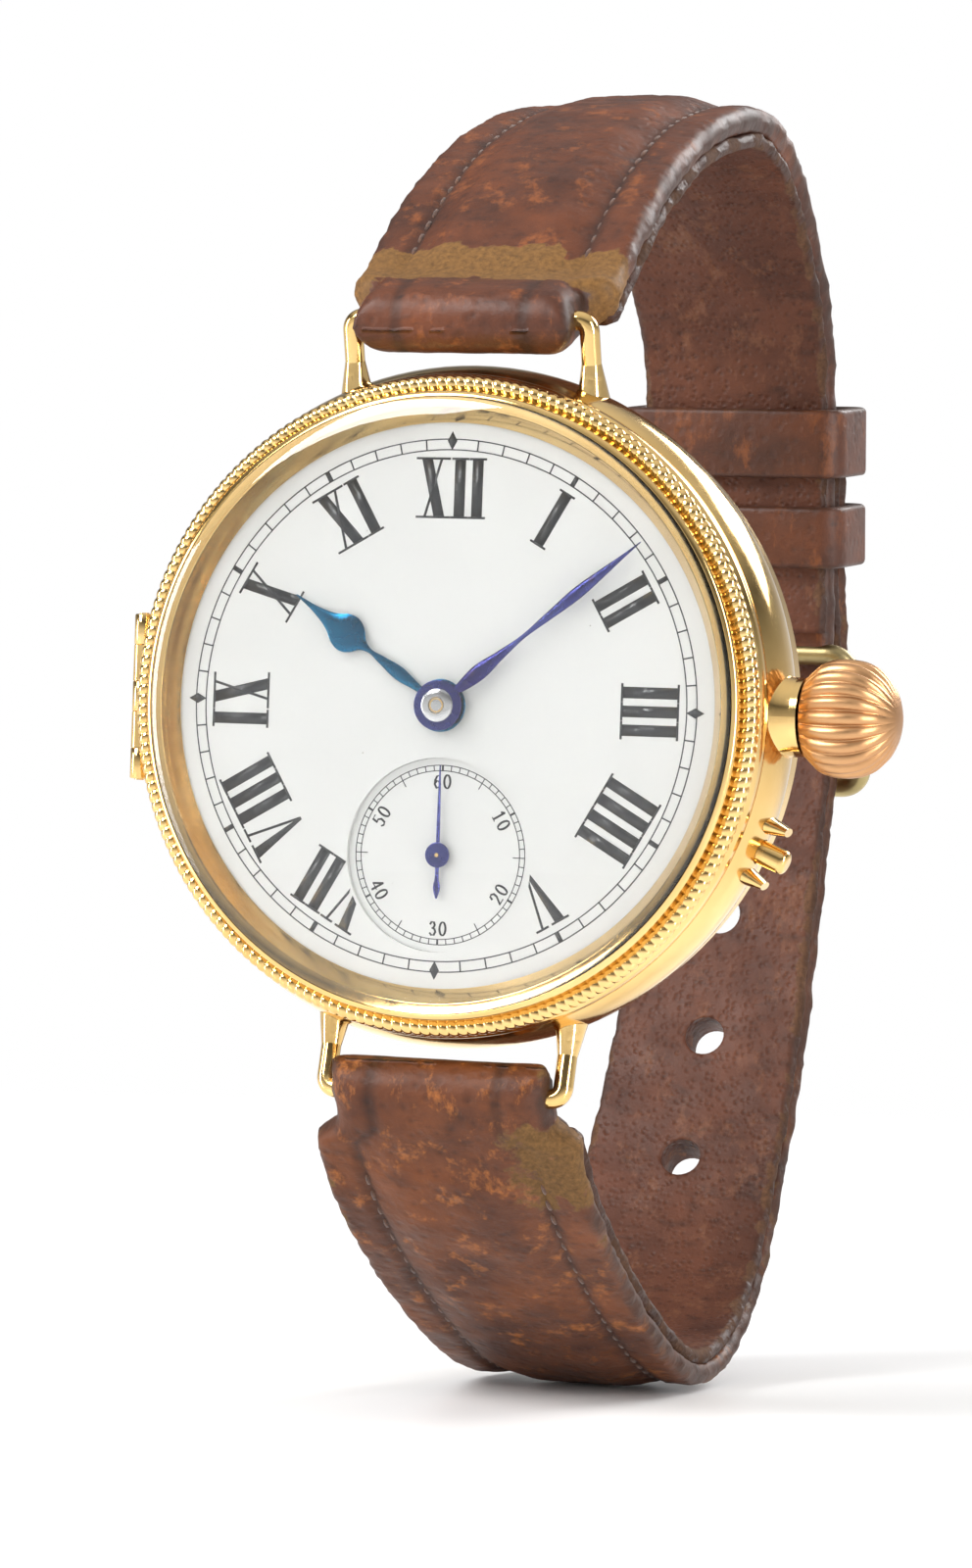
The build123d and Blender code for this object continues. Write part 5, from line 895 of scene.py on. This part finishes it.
def make_crown():
    """A fluted onion: rounded ribs that run together at the nose."""
    stations = [(0.0, 0.0), (0.0, 0.66), (0.06, 0.76), (0.16, 0.91), (0.3, 0.985), (0.45, 1.0), (0.6, 0.965)]
    stations += [(0.74, 0.86), (0.86, 0.68), (0.94, 0.47), (0.985, 0.25), (1.0, 0.1), (1.002, 0.0)]
    known = np.array(stations)
    steps = np.linspace(0, len(stations) - 1, 74)
    along = np.interp(steps, range(len(stations)), known[:, 0])
    radii = np.interp(steps, range(len(stations)), known[:, 1])
    kernel = np.array([0.25, 0.5, 0.25])
    for _ in range(4):
        along[1:-1] = np.convolve(along, kernel, "valid")
        radii[1:-1] = np.convolve(radii, kernel, "valid")
    around = CROWN_FLUTES * 14
    points = []
    for distance, radius in zip(along, radii):
        depth = 0.105 * min(1, max(0, (radius - 0.18) / 0.5)) * min(1, max(0, distance / 0.07))
        for step in range(around):
            angle = 2 * pi * step / around
            groove = 1 - abs(cos(CROWN_FLUTES * angle / 2)) ** 0.7
            size = CROWN_RADIUS * radius * (1 - depth * groove)
            x = CROWN_START + CROWN_LENGTH * distance
            points.append((x, STEM_Y + size * cos(angle), size * sin(angle)))
    faces = grid(len(along), around, False, True)
    build("crown_onion", points, faces, ROSE, "crown_body", ["crown"], weld=True)


make_crown()


# -------------------------------------------------------------------------------------- strap
LEAN = radians(5.5)
LEAN_UP, LEAN_OUT = (-sin(LEAN), cos(LEAN)), (cos(LEAN), sin(LEAN))
RUN_Y = DIAL_Y + 47.7
LUG_BAR_Y, LUG_BAR_Z = DIAL_Y + 1.7, 19.2
BUCKLE_RUN = 4.0
WRAP_HALF = 5.65
WRAP_BULGE = 1.69


def on_run(run, out):
    return (RUN_Y + LEAN_UP[0] * run + LEAN_OUT[0] * out, LEAN_UP[1] * run + LEAN_OUT[1] * out)


def behind(depth, height):
    return (DIAL_Y + depth, height)


UPPER_ROUTE = [
    (LUG_BAR_Y, LUG_BAR_Z),
    (LUG_BAR_Y + 2.0, LUG_BAR_Z + 0.95),
    behind(7.0, 22.7),
    behind(10.9, 25.6),
    behind(18.5, 29.4),
    behind(24.7, 31.0),
    behind(30.2, 31.5),
    behind(35.6, 30.2),
    behind(41.2, 26.2),
    on_run(20.4, -0.2),
    on_run(15.0, 0),
    on_run(9.5, 0),
    on_run(BUCKLE_RUN, 0),
]
LOWER_ROUTE = [
    (LUG_BAR_Y, -LUG_BAR_Z),
    (LUG_BAR_Y + 1.5, -LUG_BAR_Z - 2.6),
    behind(9.4, -27.2),
    behind(18.0, -31.9),
    behind(25.2, -34.1),
    behind(30.7, -33.5),
    behind(35.5, -30.9),
    behind(40.9, -24.3),
    behind(44.2, -18.0),
    behind(46.5, -11.3),
    on_run(-3.4, 0.7),
    on_run(0.6, 2.25),
    on_run(BUCKLE_RUN, 2.6),
    on_run(8.6, 2.1),
    on_run(13.5, 2.1),
    on_run(19.4, 2.1),
]


class Route:
    """A strap's middle line: a smooth curve through its points, measured along its length."""

    def __init__(self, points):
        known = np.array(points, float)
        chords = np.concatenate([[0], np.cumsum(np.linalg.norm(np.diff(known, axis=0), axis=1))])
        fine = np.linspace(0, chords[-1], 1600)
        line = np.stack([self.cubic(chords, known[:, axis], fine) for axis in (0, 1)], 1)
        self.lengths = np.concatenate([[0], np.cumsum(np.linalg.norm(np.diff(line, axis=0), axis=1))])
        self.line, self.total = line, self.lengths[-1]
        slope = np.gradient(line, axis=0)
        self.tangents = slope / np.linalg.norm(slope, axis=1)[:, None]

    @staticmethod
    def cubic(at, values, wanted):
        """Natural cubic through (at, values)."""
        count, gap = len(at), np.diff(at)
        matrix, right = np.eye(count), np.zeros(count)
        for i in range(1, count - 1):
            matrix[i, i - 1 : i + 2] = (gap[i - 1], 2 * (gap[i - 1] + gap[i]), gap[i])
            right[i] = 6 * ((values[i + 1] - values[i]) / gap[i] - (values[i] - values[i - 1]) / gap[i - 1])
        bend = np.linalg.solve(matrix, right)
        i = np.clip(np.searchsorted(at, wanted) - 1, 0, count - 2)
        low, high, span = wanted - at[i], at[i + 1] - wanted, gap[i]
        return (
            (bend[i] * high**3 + bend[i + 1] * low**3) / (6 * span)
            + (values[i] / span - bend[i] * span / 6) * high
            + (values[i + 1] / span - bend[i + 1] * span / 6) * low
        )

    def at(self, length):
        """Place, direction along, and direction out of the loop at a length, which may run before 0."""
        inside = min(max(length, 0), self.total)
        place = np.array([np.interp(inside, self.lengths, self.line[:, i]) for i in (0, 1)])
        along = np.array([np.interp(inside, self.lengths, self.tangents[:, i]) for i in (0, 1)])
        along /= np.linalg.norm(along)
        place = place + along * (length - inside)
        out = np.array([-along[1], along[0]])
        middle = np.array([DIAL_Y + 24.0, 0.0])
        if out @ (place - middle) < 0:
            out = -out
        return place, along, out


def ease(low, high, value):
    t = min(max((value - low) / (high - low), 0.0), 1.0)
    return t * t * (3 - 2 * t)


def half_width(length, depth, wide_from=1.45):
    """The strap's taper, with the narrow wrap beside the lug."""
    taper = np.interp(depth, [4, 26, 46], [7.0, 6.5, 5.4])
    return WRAP_HALF + (taper - WRAP_HALF) * ease(wide_from, wide_from + 1.1, length)


def rough(x, y, z, scale, seed):
    return noise.fractal(Vector((x, y, z)) * scale + Vector((seed, 0, 0)), 0.6, 2.1, 4)


class StrapLayer:
    """A closed skin between two offsets from a route, with its crown, seams and creases."""

    def __init__(self, route, start, stop, inner, outer, seed, pad=0.0, trim=0.0, bulge=False, tip=0.0):
        self.route, self.start, self.stop = route, start, stop
        self.inner, self.outer, self.seed = inner, outer, seed
        self.pad, self.trim, self.bulge, self.tip = pad, trim, bulge, tip
        self.across = 44
        self.marks = []

    def half(self, length):
        place, _, _ = self.route.at(length)
        width = half_width(length, place[0] - DIAL_Y) - self.trim
        if self.tip:
            near = min(max((self.stop - length) / self.tip, 0.0), 1.0)
            width *= max(sqrt(max(1 - (1 - near) ** 2, 0)), 0.06)
        return width

    def offsets(self, length):
        """Inner and outer distance from the middle line, round where it folds over the bar."""
        if not self.bulge:
            return self.inner, self.outer
        if length < 0:
            size = sqrt(max(WRAP_BULGE**2 - length**2, 0.0))
            return -size, size
        share = ease(0.6, 4.2, length)
        return -WRAP_BULGE + (self.inner + WRAP_BULGE) * share, WRAP_BULGE + (self.outer - WRAP_BULGE) * share

    def padding(self, length, from_edge):
        fade = ease(1.8, 5.0, length) * (1 - ease(self.route.total * 0.62, self.route.total * 0.8, length))
        crown = self.pad * ease(2.5, 4.4, from_edge) * fade
        seam = -0.2 * np.exp(-(((from_edge - 2.3) / 0.26) ** 2)) * (0.35 + 0.65 * fade)
        return crown + (seam if self.pad else 0.0)

    def rows(self):
        body = np.arange(max(self.start, 0), self.stop + 0.01, 0.34)
        if self.bulge:
            nose = [-WRAP_BULGE * cos(k * pi / 24) for k in range(12)]
            body = np.concatenate([nose, body])
        if self.tip:
            close = self.stop - self.tip * (1 - np.cos(np.linspace(0, pi / 2, 26)))[::-1] * 0.9
            body = np.concatenate([body[body < close[0]], close])
        return body

    def build(self, name, material, slot, replaces):
        points, lengths = [], self.rows()
        count = self.across
        for length in lengths:
            place, _, out = self.route.at(length)
            half = self.half(length)
            inner, outer = self.offsets(length)
            middle, thick = (inner + outer) / 2, (outer - inner) / 2
            ring = []
            for k in range(count + 1):
                u = -cos(pi * k / count)
                u = 0.55 * u + 0.45 * (-1 + 2 * k / count)
                ring.append((u, 1))
            ring += [(u, -1) for u, _ in ring[::-1]]
            for u, face in ring:
                from_edge = half * (1 - abs(u))
                soft = min(from_edge / max(thick * 0.95, 1e-6), 1.0)  # the first row has no thickness
                round_off = sqrt(max(1 - (1 - soft) ** 2, 0.0))
                x = u * half
                level = middle + face * thick * (0.12 + 0.88 * round_off)
                if face > 0:
                    level += self.padding(length, from_edge)
                y, z = place + out * level
                wrinkle = rough(x, y, z, 0.32, self.seed) * 0.085 + rough(x * 0.5, y, z, 1.1, self.seed) * 0.035
                fray = rough(y, z, x * 0.2, 0.8, self.seed + 5) * 0.12
                near_edge = 1 - ease(0.0, 1.2, from_edge)
                x += fray * near_edge * (1 if u > 0 else -1)
                y, z = place + out * (level + wrinkle * (1 if face > 0 else 0.5))
                points.append((x, y, z))
        columns = 2 * (count + 1)
        rows = len(lengths)
        faces = grid(rows, columns, False, True)
        for row in (0, rows - 1):
            for k in range(count):
                start = row * columns
                faces.append([start + k, start + k + 1, start + columns - 2 - k, start + columns - 1 - k])
        piece = build(name, points, faces, material, "root", replaces, weld=True)
        return piece

    def mark(self, piece, ridge=(1.2, 3.6), ridge_wear=1.0, edge_wear=0.3, corner=False):
        """Writes the wear, edge and crease marks that the leather's colours follow."""
        count = len(piece.data.vertices)
        place = np.zeros(count * 3, np.float32)
        piece.data.vertices.foreach_get("co", place)
        place = place.reshape(-1, 3) / MM
        samples = np.array([np.concatenate(self.route.at(s)[:1]) for s in np.arange(-1.7, self.route.total, 0.25)])
        marks = np.zeros((3, count), np.float32)
        for start in range(0, count, 4000):
            chunk = place[start : start + 4000]
            gap = ((chunk[:, None, 1:] - samples[None]) ** 2).sum(2)
            lengths = gap.argmin(1) * 0.25 - 1.7
            for i, ((x, y, z), length) in enumerate(zip(chunk.tolist(), lengths.tolist())):
                half = self.half(length)
                from_edge = half - abs(x)
                wander = rough(x, y, z, 0.5, self.seed + 9)
                fold = ease(ridge[0] - 0.5, ridge[0] + 0.3, length + wander * 0.7)
                fold *= 1 - ease(ridge[1] - 0.4, ridge[1] + 0.5, length + wander * 0.9)
                if corner:
                    fold *= ease(1.0, 5.5, x)
                rub = max(0.0, 0.5 + wander) * (1 - ease(0.1, 1.0, from_edge)) * edge_wear
                marks[0, start + i] = min(max(fold * ridge_wear, rub), 1.0)
                marks[1, start + i] = (1 - ease(-0.1, 0.5, from_edge + wander * 0.25)) * (1 - fold)
                seam = np.exp(-(((from_edge - 2.3) / 0.3) ** 2)) if self.pad else 0.0
                across = rough(x * 0.25, y, z, 2.2, self.seed + 3)
                marks[2, start + i] = min(1.0, 0.75 * seam + 0.8 * max(0.0, across - 0.28))
        for name, values in zip(("wear", "edge", "crease"), marks):
            made = piece.data.attributes.new(name, "FLOAT", "POINT")
            made.data.foreach_set("value", values)

    def stitches(self, name, first, last, pitch=1.15, long=0.82, from_edge=2.3, radius=0.12):
        """Saddle stitches sunk in the seam each side, each a thread that dives at both ends."""
        shapes = Shapes()
        number = int((last - first) / pitch)
        for side in (-1, 1):
            for k in range(number):
                begin = first + k * pitch
                path = []
                for step in range(7):
                    length = begin + long * step / 6
                    place, _, out = self.route.at(length)
                    half = self.half(length)
                    level = self.offsets(length)[1] + self.padding(length, from_edge)
                    level += 0.09 * sin(pi * step / 6) - 0.1
                    slant = 0.05 * (step / 6 - 0.5)
                    y, z = place + out * level
                    path.append((side * (half - from_edge + slant), y, z))
                shapes.tube(path, radius, 8)
        build(name, shapes.points, shapes.faces, THREAD, "root")


def holes_along(route, runs, radius=1.1):
    """Round punches through the strap at heights on the run behind the wrist."""
    shapes = Shapes()
    samples = np.arange(route.total * 0.5, route.total, 0.1)
    for height in runs:
        length = min(samples, key=lambda s: abs(route.at(s)[0][1] - height))
        place, along, out = route.at(length)
        rows = []
        for reach in (-4, 4):
            for k in range(28):
                angle = 2 * pi * k / 28
                y, z = place + out * reach + along * radius * sin(angle)
                rows.append((radius * cos(angle), y, z))
        shapes.add(rows, grid(2, 28, False, True) + [list(range(28))[::-1], list(range(28, 56))])
    return shapes


def make_straps():
    upper, lower = Route(UPPER_ROUTE), Route(LOWER_ROUTE)
    top = StrapLayer(upper, 0, upper.total, -0.4, 1.1, 3.0, pad=0.5, bulge=True)
    skin = top.build("upper_strap_leather", UPPER_LEATHER, "strap_leather", ["upper_strap"])
    top.mark(skin, (1.7, 5.2))
    top.stitches("upper_stitches", 5.2, upper.total - 5)
    under = StrapLayer(upper, 2.2, upper.total - 1, -1.15, -0.38, 4.0, trim=0.12)
    under.mark(under.build("upper_strap_lining", LINING, "strap_lining", ["upper_lining"]), (0, 0.1), 0, 0.9)

    bottom = StrapLayer(lower, 0, lower.total, -0.2, 0.9, 7.0, pad=0.34, bulge=True, tip=4.5)
    skin = bottom.build("lower_strap_leather", LOWER_LEATHER, "strap_leather", ["lower_strap"])
    inside = StrapLayer(lower, 2.2, lower.total - 0.6, -0.92, -0.18, 8.0, trim=0.12, tip=4.4)
    lining = inside.build("lower_strap_lining", LINING, "strap_lining", ["lower_lining"])
    tang_hole = LEAN_UP[1] * (BUCKLE_RUN - 1.3)
    heights = [tang_hole - 6.8 * number for number in range(5)]
    for piece in (skin, lining):
        carve(piece, holes_along(lower, heights))
    bottom.mark(skin, (1.2, 6.0), 0.8, 0.5, corner=True)
    inside.mark(lining, (0, 0.1), 0, 0.9)
    bottom.stitches("lower_stitches", 4.6, lower.total * 0.62)

    flap = StrapLayer(lower, 1.2, 20.0, -1.9, -1.0, 12.0, trim=1.3, tip=2.5)
    flap.mark(flap.build("lower_folded_end", LINING, "strap_lining", []), (0, 0.1), 0, 1.0)


make_straps()


def make_keeper(name, node, body, run, width, seed):
    """A leather loop round both straps, with rounded edges and a slight crown."""
    half_x, low, high, wall = 5.55, -1.25, 3.15, 0.88
    middle = (low + high) / 2
    reach = (high - low) / 2
    path = []
    corner = 0.9
    for cx, cz, start in ((1, 1, 0), (-1, 1, 90), (-1, -1, 180), (1, -1, 270)):
        for step in range(9):
            angle = radians(start + 90 * step / 8)
            x = cx * (half_x + wall / 2 - corner) + corner * cos(angle)
            out = cz * (reach + wall / 2 - corner) + corner * sin(angle)
            path.append((x, middle + out, cos(angle), sin(angle)))
    section = rounded(
        [(-width / 2, -wall / 2), (width / 2, -wall / 2), (width / 2, wall / 2), (-width / 2, wall / 2)], 0.3, 4
    )
    points = []
    for x, out, nx, nout in path:
        for along, thick in section:
            crown = 0.08 * (1 - (2 * along / width) ** 2) if thick > 0 else 0
            grow = thick + crown + 0.03 * rough(x, out, along, 0.9, seed)
            y, z = on_run(run + along, out + nout * grow)
            points.append((x + nx * grow, y, z))
    faces = grid(len(path), len(section), True, True)
    piece = build(name, points, faces, UPPER_LEATHER, body, [node])
    for mark in ("wear", "edge", "crease"):
        made = piece.data.attributes.new(mark, "FLOAT", "POINT")
        values = []
        for number in range(len(points)):
            along, _ = section[number % len(section)]
            rim = ease(width / 2 - 0.55, width / 2, abs(along))
            values.append({"wear": 0.35 * rim, "edge": 0.8 * rim, "crease": 0.1}[mark])
        made.data.foreach_set("value", values)


make_keeper("fixed_loop", "fixed_keeper", "root", 10.6, 3.4, 21.0)
make_keeper("sliding_loop", "free_keeper", "free_keeper_body", 15.8, 3.8, 27.0)


# ------------------------------------------------------------------------------------- studio
def panel(name, place, aim, size, strength, tint=(1, 1, 1)):
    data = bpy.data.lights.new(name, "AREA")
    data.shape, data.size, data.size_y = "RECTANGLE", size[0], size[1]
    data.energy, data.color = strength, tint
    light = bpy.data.objects.new(name, data)
    bpy.context.scene.collection.objects.link(light)
    light.location = place
    light.rotation_euler = (Vector(aim) - Vector(place)).to_track_quat("-Z", "Y").to_euler()


def make_studio():
    floor_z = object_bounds()[0].z
    size = 4.0
    corners = [(-size, -size), (size, -size), (size, size), (-size, size)]
    mesh = bpy.data.meshes.new("floor")
    mesh.from_pydata([(x, y, floor_z) for x, y in corners], [], [(0, 1, 2, 3)])
    mesh.materials.append(studio("floor_white", (0.93, 0.93, 0.93), 0.3, 0.35))
    floor = bpy.data.objects.new("floor", mesh)
    bpy.context.scene.collection.objects.link(floor)

    world = bpy.data.worlds.new("studio")
    bpy.context.scene.world = world
    world.use_nodes = True
    tree = world.node_tree
    background = tree.nodes["Background"]
    direction = tree.nodes.new("ShaderNodeTexCoord").outputs["Generated"]
    height = tree.nodes.new("ShaderNodeSeparateXYZ")
    tree.links.new(direction, height.inputs[0])
    ramp = tree.nodes.new("ShaderNodeValToRGB")
    ramp.color_ramp.elements[0].position, ramp.color_ramp.elements[0].color = 0.0, (0.9, 0.9, 0.9, 1)
    ramp.color_ramp.elements[1].position, ramp.color_ramp.elements[1].color = 1.0, (1, 1, 1, 1)
    for position, grey in ((0.22, 0.42), (0.45, 0.1), (0.7, 0.6)):
        ramp.color_ramp.elements.new(position).color = (grey, grey, grey, 1)
    tree.links.new(height.outputs["Z"], ramp.inputs[0])
    seen = tree.nodes.new("ShaderNodeLightPath").outputs["Is Camera Ray"]
    choose = tree.nodes.new("ShaderNodeMix")
    choose.data_type = "RGBA"
    tree.links.new(seen, choose.inputs[0])
    tree.links.new(ramp.outputs[0], choose.inputs[6])
    choose.inputs[7].default_value = (1, 1, 1, 1)
    tree.links.new(choose.outputs[2], background.inputs["Color"])
    background.inputs["Strength"].default_value = 1.0

    panel("key", (-0.35, -0.5, 0.45), (0, 0, 0), (0.35, 0.35), 6.5)
    panel("side", (0.55, -0.25, 0.12), (0, 0, 0), (0.12, 0.5), 3.2)
    panel("rim", (0.25, 0.5, 0.35), (0, 0, 0), (0.4, 0.25), 3.5)
    panel("low_left", (-0.5, -0.2, -0.01), (0, 0, 0), (0.1, 0.4), 1.6)
    bpy.context.scene.view_settings.view_transform = "Standard"
    bpy.context.scene.view_settings.look = "None"


make_studio()
